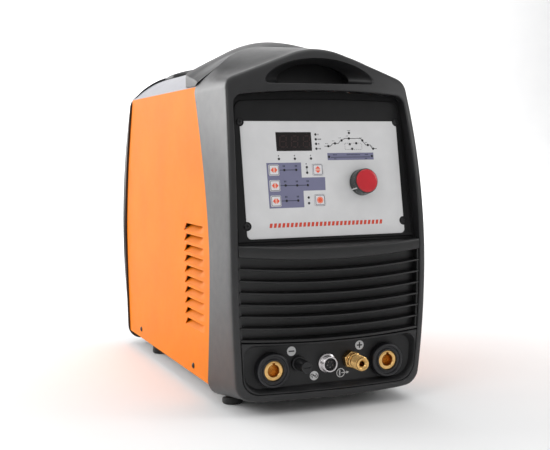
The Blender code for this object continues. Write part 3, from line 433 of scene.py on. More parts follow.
TRIM = ("cabinet", "trim_plastic", "trim")
BRASS = ("cabinet", "brass", "brass")
RUBBER = ("cabinet", "rubber", "rubber")


def facing(x, y, z, side):
    """Local Z out of the front or the rear of the machine, local X across it."""
    turn = Matrix.Rotation(math.pi / 2, 4, "X")
    if side == REAR:
        turn = Matrix.Rotation(math.pi, 4, "Z") @ turn
    return Matrix.Translation((x, y, z)) @ turn


def ease(t):
    return t * t * (3 - 2 * t)


# Bezels
BOTTOM_STEPS, CORNER_STEPS, SIDE_STEPS, SHOULDER_STEPS, CROWN_STEPS = 10, 8, 36, 14, 40
BROW_CORNER_STEPS = SHOULDER_STEPS + CROWN_STEPS // 8
BOTTOM_ARCH, BOTTOM_ARCH_HALF = 0.0018, 0.105


NARROWS_ABOVE, NARROWS_BELOW = 0.2, 0.31  # how fast the sides draw in, with the square of the height
FOREMOST_Z, LEAST_SETBACK, LEANS_ABOVE, LEANS_BELOW = 0.16, 0.0021, 0.84, 0.37


def half_width(z):
    fall = NARROWS_ABOVE if z > WIDEST_Z else NARROWS_BELOW
    return HALF_WIDTH - fall * (z - WIDEST_Z) ** 2


def setback(z):
    """How far the bezel's outer edge lies behind the rim plane at height z."""
    lean = LEANS_ABOVE if z > FOREMOST_Z else LEANS_BELOW
    return LEAST_SETBACK + lean * (z - FOREMOST_Z) ** 2


def face_depth(x, z):
    return setback(z) - BOW * (1 - (x / BOW_HALF) ** 2)


def behind_face(extra):
    return lambda x, z: face_depth(x, z) + extra


# A bezel's inner edge: least depth, what it gains by the shoulder and by the foot, and its run over the top
PARTING = {FRONT: (0.0817, 0.0508, 0.0134, 0.0325), REAR: (0.011, 0.0512, 0.009, 0.0)}
WAIST_Z, WAIST_TO_TOP, WAIST_TO_FOOT, WAIST_POWER = 0.165, 0.2005, 0.149, 1.6
SHOULDER_RUN, MIDDLE_Z, MIDDLE_RUN, MIDDLE_POWER = 0.0195, 0.3915, 0.0235, 1.3


def parting(z, side):
    """Depth of a bezel's inner edge behind its rim plane."""
    least, rise, drop, over_top = PARTING[side]
    if z > PANEL_TOP:
        shoulder = min(1.0, (z - PANEL_TOP) / SHOULDER_RUN)
        middle = min(1.0, max(0.0, z - MIDDLE_Z) / MIDDLE_RUN) ** MIDDLE_POWER
        return least + rise + over_top * (middle - shoulder)
    if z > WAIST_Z:
        return least + rise * ((z - WAIST_Z) / WAIST_TO_TOP) ** WAIST_POWER
    return least + drop * (max(WAIST_Z - z, 0.0) / WAIST_TO_FOOT) ** WAIST_POWER


def crown(x, blend, side):
    """Height of the crown at X, from the outer edge (blend 0) to the inner edge (blend 1)."""
    x = abs(x)
    rounding = CROWN_SLOPE / (2 * CROWN_ROUND)
    outer = CROWN_Z - rounding * min(x, CROWN_ROUND) ** 2 - CROWN_SLOPE * max(0.0, x - CROWN_ROUND)
    inner = BAND_CROWN_Z[side] - BAND_CUBE[side] * x**3
    return outer + blend * (inner - outer)


def side_x_at(z, blend):
    return half_width(z) + blend * (INNER_HALF - half_width(z))


def mirrored(half):
    return half + [(-x, z) for x, z in half[-2:0:-1]]


def bezel_outline(blend, side):
    """A bezel's section across Y, from the bottom middle up the right side and round."""
    bottom, corner_top = BOTTOM_Z - blend * BOTTOM_DROP, CORNER_TOP - blend * BOTTOM_DROP
    corner_x = side_x_at(corner_top, blend) - CORNER_R
    half = []
    for i in range(BOTTOM_STEPS):
        x = i / BOTTOM_STEPS * corner_x
        half.append((x, bottom - BOTTOM_ARCH * (1 - (x / BOTTOM_ARCH_HALF) ** 2)))
    half += arc(corner_x, corner_top, CORNER_R, -90, 0, CORNER_STEPS)
    for i in range(1, SIDE_STEPS + 1):
        z = corner_top + (SHOULDER_Z - corner_top) * i / SIDE_STEPS
        half.append((side_x_at(z, blend), z))
    side_x = side_x_at(SHOULDER_Z, blend)
    start, end = Vector((side_x, SHOULDER_Z)), Vector((SHOULDER_X, crown(SHOULDER_X, blend, side)))
    bend = Vector((side_x, crown(side_x, blend, side)))
    for i in range(1, SHOULDER_STEPS + 1):
        t = i / SHOULDER_STEPS
        half.append(tuple(start * (1 - t) ** 2 + bend * 2 * t * (1 - t) + end * t**2))
    for i in range(1, CROWN_STEPS + 1):
        x = SHOULDER_X * (1 - i / CROWN_STEPS)
        half.append((x, crown(x, blend, side)))
    return mirrored(half)


def window_half(z, rim, low):
    return half_width(max(z, low + CORNER_R)) - rim


def window_outline(rim, low, brow, arch):
    """A bezel's window, with a point for each point of the bezel's outline."""
    corner_x = window_half(low, rim, low) - CORNER_R
    brow_r = 0.6 * CORNER_R
    side_low, side_top = low + CORNER_R, brow - brow_r
    brow_x = window_half(side_top, rim, low) - brow_r
    half = [(i / BOTTOM_STEPS * corner_x, low) for i in range(BOTTOM_STEPS)]
    half += arc(corner_x, side_low, CORNER_R, -90, 0, CORNER_STEPS)
    for i in range(1, SIDE_STEPS + 1):
        z = side_low + (side_top - side_low) * i / SIDE_STEPS
        half.append((window_half(z, rim, low), z))
    half += arc(brow_x, side_top, brow_r, 0, 90, BROW_CORNER_STEPS)[1:]
    left = SHOULDER_STEPS + CROWN_STEPS - BROW_CORNER_STEPS
    for i in range(1, left + 1):
        x = brow_x * (1 - i / left)
        half.append((x, brow + arch * (1 - (x / brow_x) ** 2)))
    return mirrored(half)


FRONT_WINDOW = window_outline(FRONT_RIM, FRONT_LOW, FRONT_BROW, 0.0045)
REAR_WINDOW = window_outline(REAR_RIM, REAR_LOW, REAR_BROW, 0.003)


def ring(outline, depth, side):
    """Points of an outline at the given depth behind the rim plane, a number or a function."""
    return [(x, side * (RIM_Y - (depth(x, z) if callable(depth) else depth)), z) for x, z in outline]


def lerp_outline(first, second, t):
    return [(a + (c - a) * t, b + (d - b) * t) for (a, b), (c, d) in zip(first, second)]


STRIP_STEPS, FACE_STEPS = 8, 6
# Rounding from the outside to the face, and from the face into the window: distance in, depth behind the face
FRONT_EDGE = ((0.0003, 0.0045), (0.0006, 0.0026), (0.0011, 0.0014), (0.0018, 0.0007), (0.003, 0.0002),
              (0.006, 0))
WINDOW_EDGE = ((-0.0007, 0.0003), (-0.0001, 0.001), (0.0, 0.002), (0.0, 0.02))
FRONT_LIP, REAR_LIP = 0.01, 0.005


def strip_ring(side, lip, t):
    """A ring of the bezel's outside, from its parting line (t 0) forward to its front edge (t 1)."""
    def depth(x, z):
        return parting(z, side) * (1 - t) + (face_depth(x, z) + lip) * t

    return ring(bezel_outline(1 - t, side), depth, side)


def bezel_shell(side, window):
    """A hollow bezel, as a closed run of rings round its outside, face, window and inside."""
    lip = FRONT_LIP if side == FRONT else REAR_LIP
    outer, inner = bezel_outline(0.0, side), bezel_outline(1.0, side)
    rings = [strip_ring(side, lip, i / STRIP_STEPS) for i in range(STRIP_STEPS + 1)]
    for distance, extra in FRONT_EDGE:
        rings.append(ring(inset(outer, distance), behind_face(extra * lip / FRONT_LIP), side))
    edge, rim = inset(outer, 0.006), inset(window, -0.0016)
    for i in range(1, FACE_STEPS + 1):
        rings.append(ring(lerp_outline(edge, rim, i / FACE_STEPS), behind_face(0.0), side))
    for distance, extra in WINDOW_EDGE:
        rings.append(ring(inset(window, distance), behind_face(extra), side))
    around = inset(window, -0.002)
    rings.append(ring(around, behind_face(0.02), side))
    rings.append(ring(around, behind_face(0.004), side))
    rings.append(ring(inset(outer, WALL), behind_face(0.005), side))
    rings.append(ring(inset(inner, WALL), lambda x, z: parting(z, side), side))
    return rings


GRIP_STEPS, GRIP_POWER, GRIP_WALL = 40, 1.3, 0.0016
GRIP_LIP, GRIP_BACK = (0.0665, 0.3935, 0.3645), (0.045, 0.3885, 0.3665)  # half-width, top, base
# Depth of the funnel and of the chamber behind it
GRIP_DEEP = {FRONT: (0.022, 0.04), REAR: (0.015, 0.026)}
# The funnel's sides: share of the way from the lip's outline to the back's, and depth behind the face
GRIP_FUNNEL = ((-0.03, 0.0), (0.0, 0.0003), (0.045, 0.002), (0.13, 0.0046), (0.3, 0.0086), (0.52, 0.013),
               (0.76, 0.0178))


def grip_outline(half, top, base):
    """An arch over a flat base with rounded feet, as (x, z) points from the lower right."""
    foot = 0.004
    points = arc(half - foot, base + foot, foot, -90, -18, 4)
    for i in range(1, GRIP_STEPS):
        angle = math.pi * i / GRIP_STEPS
        points.append((half * math.cos(angle),
                       base + foot + (top - base - foot) * math.sin(angle) ** GRIP_POWER))
    return points + arc(foot - half, base + foot, foot, 198, 270, 4)


def grip_pocket(side):
    """The funnel for the fingers in a bezel's crown, with a rolled lip and a darker chamber behind."""
    lip, back = grip_outline(*GRIP_LIP), grip_outline(*GRIP_BACK)
    deep, chamber = GRIP_DEEP[side]
    wide, wider = inset(back, -0.003), inset(back, -0.003 - GRIP_WALL)
    middle, rim = inset(lerp_outline(lip, back, 0.5), -GRIP_WALL), inset(lip, -0.0009)
    outside = ((wider, chamber + GRIP_WALL), (wider, deep), (middle, 0.0128), (rim, 0.0022), (rim, 0.0))
    funnel = [(lerp_outline(lip, back, t), min(depth, deep)) for t, depth in (*GRIP_FUNNEL, (1.0, deep))]
    inside = [*funnel, (wide, deep + 0.0015), (wide, chamber)]
    return fresh(add_loft,
                 [ring(outline, behind_face(depth), side) for outline, depth in (*outside, *inside)])


def grip_hole(side):
    lip = inset(grip_outline(*GRIP_LIP), -0.0008)
    return fresh(add_loft, [ring(lip, behind_face(depth), side) for depth in (-0.01, 0.06)])


RECESS_AT = (-0.003, 0.117 - RIM_Y, 0.4107)
RECESS = [(7.0, 20), (6.8, 3.0), (6.5, 1.8), (6.2, 0)]


def bezels():
    for side, end, window in ((FRONT, "front", FRONT_WINDOW), (REAR, "rear", REAR_WINDOW)):
        cutters = [grip_hole(side)]
        if side == FRONT:
            cutters.append(fresh(add_turned, RECESS, Matrix.Translation(RECESS_AT), 48))
        shell = carved(fresh(add_loft, bezel_shell(side, window), closed=True), *cutters)
        piece(end + "_bezel", shell, "cabinet", "bezel_plastic", "bezel", end + "_bezel")
        piece(end + "_grip_pocket", grip_pocket(side), "cabinet", "trim_plastic", "bezel",
              end + "_grip_pocket",
              sharp=50)


# Steel casing
VENT_COUNT, VENT_PITCH, VENT_TOP = 10, 0.013, 0.2028
VENT_FRONT, VENT_REAR = 0.109 - RIM_Y, 0.182 - RIM_Y
VENT_HIGH, VENT_SUNK, VENT_TAPER = 0.0096, 0.0086, 0.034
VENT_COLUMNS, VENT_ROWS = 30, 8
VENT_RAKE = 0.0095  # how much further back a mouth's foot lies than its top


def vent_rear(up):
    return VENT_REAR + VENT_RAKE * (1 - up)


def vent_flap(work, side, top):
    """A louvre pressed inwards: flush at its foot and front end, open along its top and raked rear."""
    outer = []
    for j in range(VENT_ROWS + 1):
        up = j / VENT_ROWS
        row = []
        for i in range(VENT_COLUMNS + 1):
            y = VENT_FRONT + (vent_rear(up) - VENT_FRONT) * i / VENT_COLUMNS
            depth = VENT_SUNK * min(1.0, up * 1.05) * ease(min(1.0, (y - VENT_FRONT) / VENT_TAPER))
            row.append((side * (PANEL_X - depth), y, top - VENT_HIGH + up * VENT_HIGH))
        outer.append(row)
    inner = [[(x - side * SHEET, y, z) for x, y, z in row] for row in outer]
    front, back = [[[work.verts.new(p) for p in row] for row in sheet] for sheet in (outer, inner)]
    for sheet in (front, back):
        for low, high in zip(sheet, sheet[1:]):
            for i in range(VENT_COLUMNS):
                work.faces.new((low[i], low[i + 1], high[i + 1], high[i]))
    for near, far in zip(rim_of(front), rim_of(back)):
        work.faces.new((near[0], near[1], far[1], far[0]))


def rim_of(sheet):
    """Pairs of neighbouring corners along the two ends and then the two long edges of a sheet."""
    ends = [[row[k] for row in sheet] for k in (0, -1)]
    return [pair for edge in (*ends, sheet[0], sheet[-1]) for pair in zip(edge, edge[1:])]


def panel_sheet(side):
    """A flat side sheet between the bezels, whose ends follow their inner edges."""
    heights = [PANEL_BOTTOM + (PANEL_TOP - PANEL_BOTTOM) * i / 40 for i in range(41)]
    slack = 0.0008
    front = [(parting(z, FRONT) + slack - RIM_Y, z) for z in heights]
    rear = [(RIM_Y - parting(z, REAR) - slack, z) for z in reversed(heights)]
    turn = Matrix(((0, 0, 1, 0), (1, 0, 0, 0), (0, 1, 0, 0), (0, 0, 0, 1)))
    low, high = sorted((side * PANEL_X, side * (PANEL_X - SHEET)))
    return fresh(add_slab, front + rear, low, high, turn)


def vent_windows(side):
    work = bmesh.new()
    for k in range(VENT_COUNT):
        top = VENT_TOP - k * VENT_PITCH
        front, foot = VENT_FRONT + 0.0004, top - VENT_HIGH + 0.0003
        window = ((front, top), (vent_rear(1), top), (vent_rear(0), foot), (front, foot))
        add_loft(work, [[(side * x, y, z) for y, z in window] for x in (PANEL_X + 0.004, PANEL_X - 0.006)])
    return work


def side_panels():
    for side, end in ((-1, "left"), (1, "right")):
        work = joined([carved(panel_sheet(side), vent_windows(side))])
        for k in range(VENT_COUNT):
            vent_flap(work, side, VENT_TOP - k * VENT_PITCH)
        piece("side_panel_" + end, work, "cabinet", "orange_steel", "orange", "side_panel_" + end, sharp=28)


PAN_HEAD = [(0.4, 1.9), (1.6, 1.8), (2.8, 1.3), (3.5, 0.5), (3.6, 0)]
CROSS_REACH, CROSS_HALF, CROSS_DEEP = 0.0021, 0.00045, 0.0014


def cross_outline():
    """A plus sign, anticlockwise."""
    points = []
    for quarter in range(4):
        turn = Matrix.Rotation(math.radians(90 * quarter), 2)
        for corner in ((CROSS_REACH, -CROSS_HALF), (CROSS_REACH, CROSS_HALF), (CROSS_HALF, CROSS_HALF)):
            points.append(tuple(turn @ Vector(corner)))
    return points


def screw_mesh(matrix):
    """A cross-recess screw whose seat is at the matrix's origin."""
    top = PAN_HEAD[0][1] * MM
    recess = fresh(add_slab, cross_outline(), top - CROSS_DEEP, top + 0.001)
    mesh = carved(fresh(add_turned, PAN_HEAD, steps=28), recess)
    mesh.transform(matrix)
    return mesh


def joined(meshes):
    work = bmesh.new()
    for mesh in meshes:
        work.from_mesh(mesh)
    return work


PANEL_SCREWS = ((0.4165, 0.032), (0.1596, 0.0295))


def panel_screws():
    for side, end in ((-1, "left"), (1, "right")):
        turn = Matrix.Rotation(side * math.pi / 2, 4, "Y")
        heads = [screw_mesh(Matrix.Translation((side * PANEL_X, behind - RIM_Y, z)) @ turn)
                 for behind, z in PANEL_SCREWS]
        piece("panel_screws_" + end, joined(heads), *TRIM)


ROOF_HALF, RIDGE_X, DISH_X, FINGER_DISH_Z = 0.1122, 0.06, 0.046, 0.372
ROOF_CROWN_Z, ROOF_CUBE = 0.4025, 26.2  # the roof would reach this height without its dish


def roof_arch(x):
    return ROOF_CROWN_Z - ROOF_CUBE * abs(x) ** 3


def roof_top(x):
    x = min(abs(x), ROOF_HALF)
    if x > RIDGE_X:
        return roof_arch(x)
    rise = (roof_arch(RIDGE_X) - FINGER_DISH_Z) * max(0.0, x - DISH_X) / (RIDGE_X - DISH_X)
    return FINGER_DISH_Z + rise


FOLD_REACH, ROOF_STEPS = 0.0045, 120


def softened_roof(x):
    """The roof's height with its folds rounded, by averaging over a short span."""
    spots = [-1, -0.5, 0, 0.5, 1]
    return sum(roof_top(x + FOLD_REACH * share) for share in spots) / len(spots)


def roof_cover():
    xs = [-ROOF_HALF + 2 * ROOF_HALF * i / ROOF_STEPS for i in range(ROOF_STEPS + 1)]
    section = [(x, softened_roof(x)) for x in xs] + [(x, softened_roof(x) - SHEET) for x in reversed(xs)]
    ends = (parting(PANEL_TOP, FRONT) + 0.001 - RIM_Y, RIM_Y - parting(PANEL_TOP, REAR) - 0.001)
    piece("roof_cover", fresh(add_loft, [[(x, y, z) for x, z in section] for y in ends]), "cabinet",
          "grey_steel", "grey", "roof_cover")


# Handle: distance behind the front rim plane, half-width, top, fall at the sides, spread, underside.
# Spread 0 follows a bezel's inner edge, and spread 1 is an arch whose flanks are straight.
HANDLE_STATIONS = (
    (0.1003, 0.115, 0.415, 0.0, 0.0, 0.36), (0.115, 0.115, 0.4166, 0.0, 0.15, 0.36),
    (0.132, 0.1145, 0.4185, 0.0, 0.4, 0.36), (0.15, 0.1142, 0.4205, 0.0, 0.6, 0.36),
    (0.165, 0.114, 0.4237, 0.0, 0.7, 0.36), (0.177, 0.113, 0.4256, 0.0, 0.84, 0.36),
    (0.184, 0.109, 0.4264, 0.0, 0.92, 0.36), (0.191, 0.097, 0.4266, 0.001, 1.0, 0.384),
    (0.2, 0.074, 0.4266, 0.001, 1.0, 0.3975), (0.209, 0.06, 0.4266, 0.004, 1.0, 0.3975),
    (0.218, 0.042, 0.4266, 0.006, 1.0, 0.399), (0.23, 0.028, 0.4266, 0.01, 1.0, 0.4025),
    (0.252, 0.02, 0.4266, 0.013, 1.0, 0.4045), (0.287, 0.02, 0.4248, 0.013, 1.0, 0.403),
    (0.315, 0.02, 0.4215, 0.013, 1.0, 0.4005), (0.345, 0.022, 0.418, 0.0125, 1.0, 0.398),
    (0.364, 0.025, 0.415, 0.011, 1.0, 0.3955), (0.38, 0.033, 0.4128, 0.008, 0.8, 0.39),
    (0.394, 0.046, 0.4118, 0.004, 0.5, 0.3975), (0.408, 0.062, 0.4108, 0.001, 0.2, 0.36),
    (0.424, 0.065, 0.4085, 0.0, 0.1, 0.36), (0.4437, 0.065, 0.406, 0.0, 0.0, 0.36),
)
HANDLE_FINENESS = 5
ROOT_ARC, FLANK_X = 4.51, 0.0554  # the arched root falls with the square of X as far as its straight flanks
SEAM_Y, SETTLED_Y = 0.1003, 0.15  # from the seam at the shoulders back to where sections stand in one plane


def smooth_stations():
    """More stations between the given ones, on a curve that never overshoots them."""
    rows, last = [HANDLE_STATIONS[0]], len(HANDLE_STATIONS) - 1
    for i in range(last):
        around = [HANDLE_STATIONS[min(max(k, 0), last)] for k in range(i - 1, i + 3)]
        for step in range(1, HANDLE_FINENESS + 1):
            t = step / HANDLE_FINENESS
            at = around[1][0] + (around[2][0] - around[1][0]) * t
            row = [at]
            for column in range(1, 6):
                row.append(hermite([(r[0], r[column]) for r in around], t))
            rows.append(tuple(row))
    return rows


def slope(first, second):
    return (second[1] - first[1]) / (second[0] - first[0]) if second[0] > first[0] else 0.0


def hermite(spots, t):
    """Value between the two middle spots, with slopes limited so that the curve stays between them."""
    (x1, y1), (x2, y2) = spots[1:3]
    width, middle = x2 - x1, slope(spots[1], spots[2])
    tangents = []
    for other in (slope(spots[0], spots[1]), slope(spots[2], spots[3])):
        same_way = middle * other > 0
        tangents.append(2 * middle * other / (middle + other) if same_way else 0.0)
    t2, t3 = t * t, t * t * t
    return (y1 * (2 * t3 - 3 * t2 + 1) + width * tangents[0] * (t3 - 2 * t2 + t)
            + y2 * (3 * t2 - 2 * t3) + width * tangents[1] * (t3 - t2))


# Rounding where the handle's top meets its sides: distance in, distance down
HANDLE_EDGE = ((0.0, 0.0034), (0.0002, 0.0018), (0.0009, 0.0007))


def handle_fall(x, behind, spread):
    x = abs(x)
    inner_edge = BAND_CUBE[FRONT if behind < 0.27 else REAR] * x**3
    flank = ROOT_ARC * min(x, FLANK_X) ** 2 + 2 * ROOT_ARC * FLANK_X * max(0.0, x - FLANK_X)
    return inner_edge + spread * (flank - inner_edge)


def handle_section(behind, half, top, side_fall, spread, lowest):
    """One section of the handle: an arched top, upright sides and an underside clear of the roof."""
    count, span = 16, half - 0.002
    right = [half * (1 - i / count) for i in range(count)]
    under = [(x, max(lowest, softened_roof(x) + 0.0009)) for x in [-x for x in right] + right[::-1]]
    over = []
    for i in range(61):
        x = span * math.cos(math.pi * i / 60)
        over.append((x, top - handle_fall(x, behind, spread) - side_fall * abs(x / half) ** 3))
    edge_z = over[0][1]
    low_side = min(edge_z - 0.004, under[-1][1] + 0.0015)
    side = [(half, low_side)] + [(half - back, edge_z - down) for back, down in HANDLE_EDGE]
    points = under + side + over + [(-x, z) for x, z in reversed(side)]
    unsettled = max(0.0, (SETTLED_Y - behind) / (SETTLED_Y - SEAM_Y))
    placed = []
    for x, z in points:
        seam = parting(z, FRONT) + 0.001
        placed.append((x, behind + unsettled * (seam - SEAM_Y) - RIM_Y, z))
    return placed


def handle():
    piece("handle", fresh(add_loft, [handle_section(*station) for station in smooth_stations()]), "cabinet",
          "bezel_plastic", "handle", "handle", sharp=38)


FOOT = [(0, 20.5), (10, 20.5), (11.2, 19), (11.2, 16), (10.4, 15.2), (10.4, 13.6),
        (11.2, 12.8), (12, 5), (12, 2.2), (11.4, 0.6), (10.4, 0), (7, 0),
        (6.6, 2.2), (0, 2.2)]
REAR_FOOT_Y, FRONT_FOOT_Y = 0.392 - RIM_Y, 0.08 - RIM_Y
FOOT_X = 0.092
# Radius, and share of the way up to the bezel's underside
LOW_FOOT = [(0.007, 0.26), (0.0074, 0.0), (0.0104, 0.0), (0.0114, 0.07), (0.012, 0.25), (0.012, 0.8),
            (0.0112, 1.0)]


def underside(y):
    """Height of the front bezel's underside at Y, near its inner edge."""
    behind = y + RIM_Y
    inner, outer = parting(BOTTOM_Z - BOTTOM_DROP, FRONT), face_depth(0, BOTTOM_Z) + 0.01
    return BOTTOM_Z - BOTTOM_DROP * (behind - outer) / (inner - outer)


def low_foot(work, across):
    """A low foot whose top follows the underside of the front bezel."""
    rings = []
    for radius, share in LOW_FOOT:
        spots = circle(across, FRONT_FOOT_Y, radius, 48)
        rings.append([(x, y, share * (underside(y) - 0.0012)) for x, y in spots])
    add_loft(work, rings)


def feet():
    for side, end in ((-1, "left"), (1, "right")):
        rear = fresh(add_turned, FOOT, Matrix.Translation((side * FOOT_X, REAR_FOOT_Y, 0)), 48)
        piece("foot_rear_" + end, rear, *RUBBER, "foot_rear_" + end)
        piece("foot_front_" + end, fresh(low_foot, side * FOOT_X), *RUBBER, "foot_front_" + end)


# Control fascia, drawn in its own plane: u across, v up the reclined face, height out of it
FACE = Matrix.Translation((0, FASCIA_Y, FASCIA_Z)) @ Matrix.Rotation(math.pi / 2 - FASCIA_TILT, 4, "X")
LABEL_HALF, LABEL_HIGH, LABEL_TOP = 0.0962, 0.1298, 0.0011
KNOB_AT = (0.0455, 0.0593)
KEY_HALF, KEY_TOP = 0.00625, 0.0019
KEYS = {"key_mode": (-0.0601, 0.0751), "key_trigger": (-0.0601, 0.0578), "key_current": (-0.0601, 0.0408),
        "key_adjust": (-0.0075, 0.0748), "key_gas_test": (-0.0075, 0.0406)}
DISPLAY = (-0.0548, -0.0125, 0.0965, 0.1171)
LABEL_SCREWS = {"label_screw_top_left": (-0.0962, 0.1289), "label_screw_top_right": (0.0962, 0.1289),
                "label_screw_low_left": (-0.0955, 0.0143), "label_screw_low_right": (0.0955, 0.0143)}
HEADER_TOP_Z = 0.3462
PLATE_EDGE, BORDER_SUNK, BORDER_BACK = 0.0013, -0.0022, -0.003
FASCIA_CORNER_R, FASCIA_SIDE_STEPS = 0.011, 24


def face_place(at, lift=0.0):
    return FACE @ Matrix.Translation((at[0], at[1], lift))


def fascia_outline(margin, top, foot=0.0, arch=0.002):
    """The fascia's edge inside the bezel's window, up to the given height, from the lower right round."""
    lean = math.cos(FASCIA_TILT)
    low = (DECK_Z + 0.001 + foot - FASCIA_Z) / lean
    high = (top - FASCIA_Z) / lean
    corner_v = high - FASCIA_CORNER_R
    side = []
    for i in range(FASCIA_SIDE_STEPS + 1):
        v = low + (corner_v - low) * i / FASCIA_SIDE_STEPS
        side.append((window_half(FASCIA_Z + v * lean, FRONT_RIM, FRONT_LOW) - margin, v))
    corner_u = side[-1][0] - FASCIA_CORNER_R
    side += arc(corner_u, corner_v, FASCIA_CORNER_R, 0, 90, 8)[1:]
    for i in range(1, 12):
        u = corner_u * (1 - i / 12)
        side.append((u, high + arch * (1 - (u / corner_u) ** 2)))
    return side + [(0.0, high + arch)] + [(-u, v) for u, v in side[::-1]]


def display_outline(margin, radius):
    left, right, low, high = DISPLAY
    return rounded((right - left) / 2 + margin, low - margin, high + margin, radius, 3, (left + right) / 2)


def key_wells(margin):
    """Cutters for the five keys and the knob's shaft."""
    work = bmesh.new()
    half = KEY_HALF + margin
    for u, v in KEYS.values():
        add_slab(work, [(u + a, v + b) for a, b in rounded(half, -half, half, 0.0018)], -0.02, 0.02, FACE)
    add_turned(work, [(4.2, 20), (4.2, -20)], face_place(KNOB_AT), 32)
    return work


def control_fascia():
    """The black moulded face, a sunken border and a raised plate whose rounded edge shows as a line."""
    border = fascia_outline(0.0002, FRONT_BROW, -0.0015, 0.0045)
    raised = fascia_outline(0.0036, HEADER_TOP_Z, 0.0004)
    levels = [(border, BORDER_BACK), (border, BORDER_SUNK), (raised, BORDER_SUNK)]
    for i in range(5):
        turn = math.radians(90 * i / 4)
        levels.append((inset(raised, PLATE_EDGE * (1 - math.cos(turn))), PLATE_EDGE * (math.sin(turn) - 1)))
    mesh = carved(fresh(add_loft, lifted(levels), matrix=FACE), key_wells(0.0004))
    piece("control_fascia", mesh, "cabinet", "trim_plastic", "fascia", "control_fascia", sharp=40)


def label_plate():
    """The pale printed label, with openings for the keys, the knob's shaft, the display and the screws."""
    work = fresh(add_slab, rounded(LABEL_HALF, 0, LABEL_HIGH, 0.005), 0.0002, LABEL_TOP, FACE, edge=0.0003,
                 steps=2)
    cutters = key_wells(0.0003)
    add_slab(cutters, display_outline(0.0003, 0.0006), -0.001, 0.02, FACE)
    for at in LABEL_SCREWS.values():
        add_turned(cutters, [(5, 10), (5, -1)], face_place(at), 32)
    piece("label_plate", carved(work, cutters), "cabinet", "label_film", "label", "label_plate")
    for name, at in LABEL_SCREWS.items():
        piece(name, screw_mesh(face_place(at, 0.0003)), *TRIM, name)


# Printing on the label, in millimetres across and up the label
INK_THICK, INK_SUNK = 0.00007, 0.00003


class Print:
    """Flat inked shapes, one mesh per colour, each layer lying on the one under it."""

    def __init__(self, matrix, base):
        self.matrix, self.base, self.inks = matrix, base, {}

    def shape(self, ink, outline, layer=0):
        work = self.inks.setdefault(ink, bmesh.new())
        low = self.base + layer * INK_THICK
        add_slab(work, [(u * MM, v * MM) for u, v in outline], low - INK_SUNK, low + INK_THICK, self.matrix)

    def dot(self, ink, at, radius, layer=0, steps=20):
        self.shape(ink, circle(*at, radius, steps), layer)

    def bar(self, ink, left, low, right, high, layer=0):
        self.shape(ink, [(right, low), (right, high), (left, high), (left, low)], layer)

    def line(self, ink, points, width, layer=0):
        for (u0, v0), (u1, v1) in zip(points, points[1:]):
            along = Vector((u1 - u0, v1 - v0)).normalized() * width / 2
            across = Vector((-along.y, along.x))
            corners = [(u0, v0, -1, -1), (u1, v1, 1, -1), (u1, v1, 1, 1), (u0, v0, -1, 1)]
            self.shape(ink, [(u + a * along.x + b * across.x, v + a * along.y + b * across.y)
                             for u, v, a, b in corners], layer)

    def band(self, ink, outer, inner, layer=0):
        """A closed band between two outlines of equally many points."""
        low, high = self.base + layer * INK_THICK - INK_SUNK, self.base + (layer + 1) * INK_THICK
        levels = ((outer, low), (outer, high), (inner, high), (inner, low))
        rings = [[(u * MM, v * MM, height) for u, v in outline] for outline, height in levels]
        add_loft(self.inks.setdefault(ink, bmesh.new()), rings, True, self.matrix)

    def hoop(self, ink, at, outer, inner, layer=0):
        self.band(ink, circle(*at, outer, 40), circle(*at, inner, 40), layer)

    def finish(self, prefix, body, slot):
        for ink, work in self.inks.items():
            piece(prefix + ink, work, body, slot, "print_" + ink)


LAMP_R = 1.4
UNIT_LAMPS = ((-6.9, 114.7), (-6.9, 109.2), (-6.9, 104.0), (-6.9, 98.5))
STATE_LAMPS = ((-53.1, 87.5), (-34.0, 87.5), (-14.5, 87.5))
CHOICES = (((-47.7, 75.0), (-33.4, 75.0)), ((-47.4, 57.9), (-33.6, 57.7), (-20.8, 57.7)),
           ((-47.5, 40.8), (-33.7, 40.8)))
SIDE_PAIRS = (((-20.4, 77.8), (-20.4, 71.6)), ((-20.8, 43.8), (-20.9, 37.5)))
CYCLE = ((7.9, 101.3), (16.4, 104.4), (24.9, 107.7), (34.3, 109.9), (51.1, 107.6), (57.7, 102.3),
         (64.1, 98.0))
CYCLE_LINE = ((3.2, 101.3), (10.5, 101.3), (14.0, 104.4), (20.5, 104.4), (24.0, 107.7), (29.0, 109.9),
              (49.0, 109.9),
              (55.0, 102.3), (61.0, 102.3), (63.0, 98.0), (68.5, 98.0))
CYCLE_EXTRA = ((34.9, 116.3), (34.9, 103.4), (43.1, 104.4), (37.4, 98.0))
BLOCK = ((-68.4, 83.1), (-68.3, 32.9), (-26.9, 33.1), (-26.5, 51.5), (0.4, 51.7), (1.0, 66.3), (-27.3, 66.3),
         (-27.1, 83.2))


def caption(ink, sheet, at, width, high=1.5, layer=0):
    """Two or three short dashes where the real panel has small print."""
    left = at[0] - width / 2
    pieces = max(1, round(width / 1.7))
    pitch = width / pieces
    for k in range(pieces):
        start = left + k * pitch
        sheet.bar(ink, start, at[1] - high / 2, start + 0.66 * pitch, at[1] + high / 2, layer)


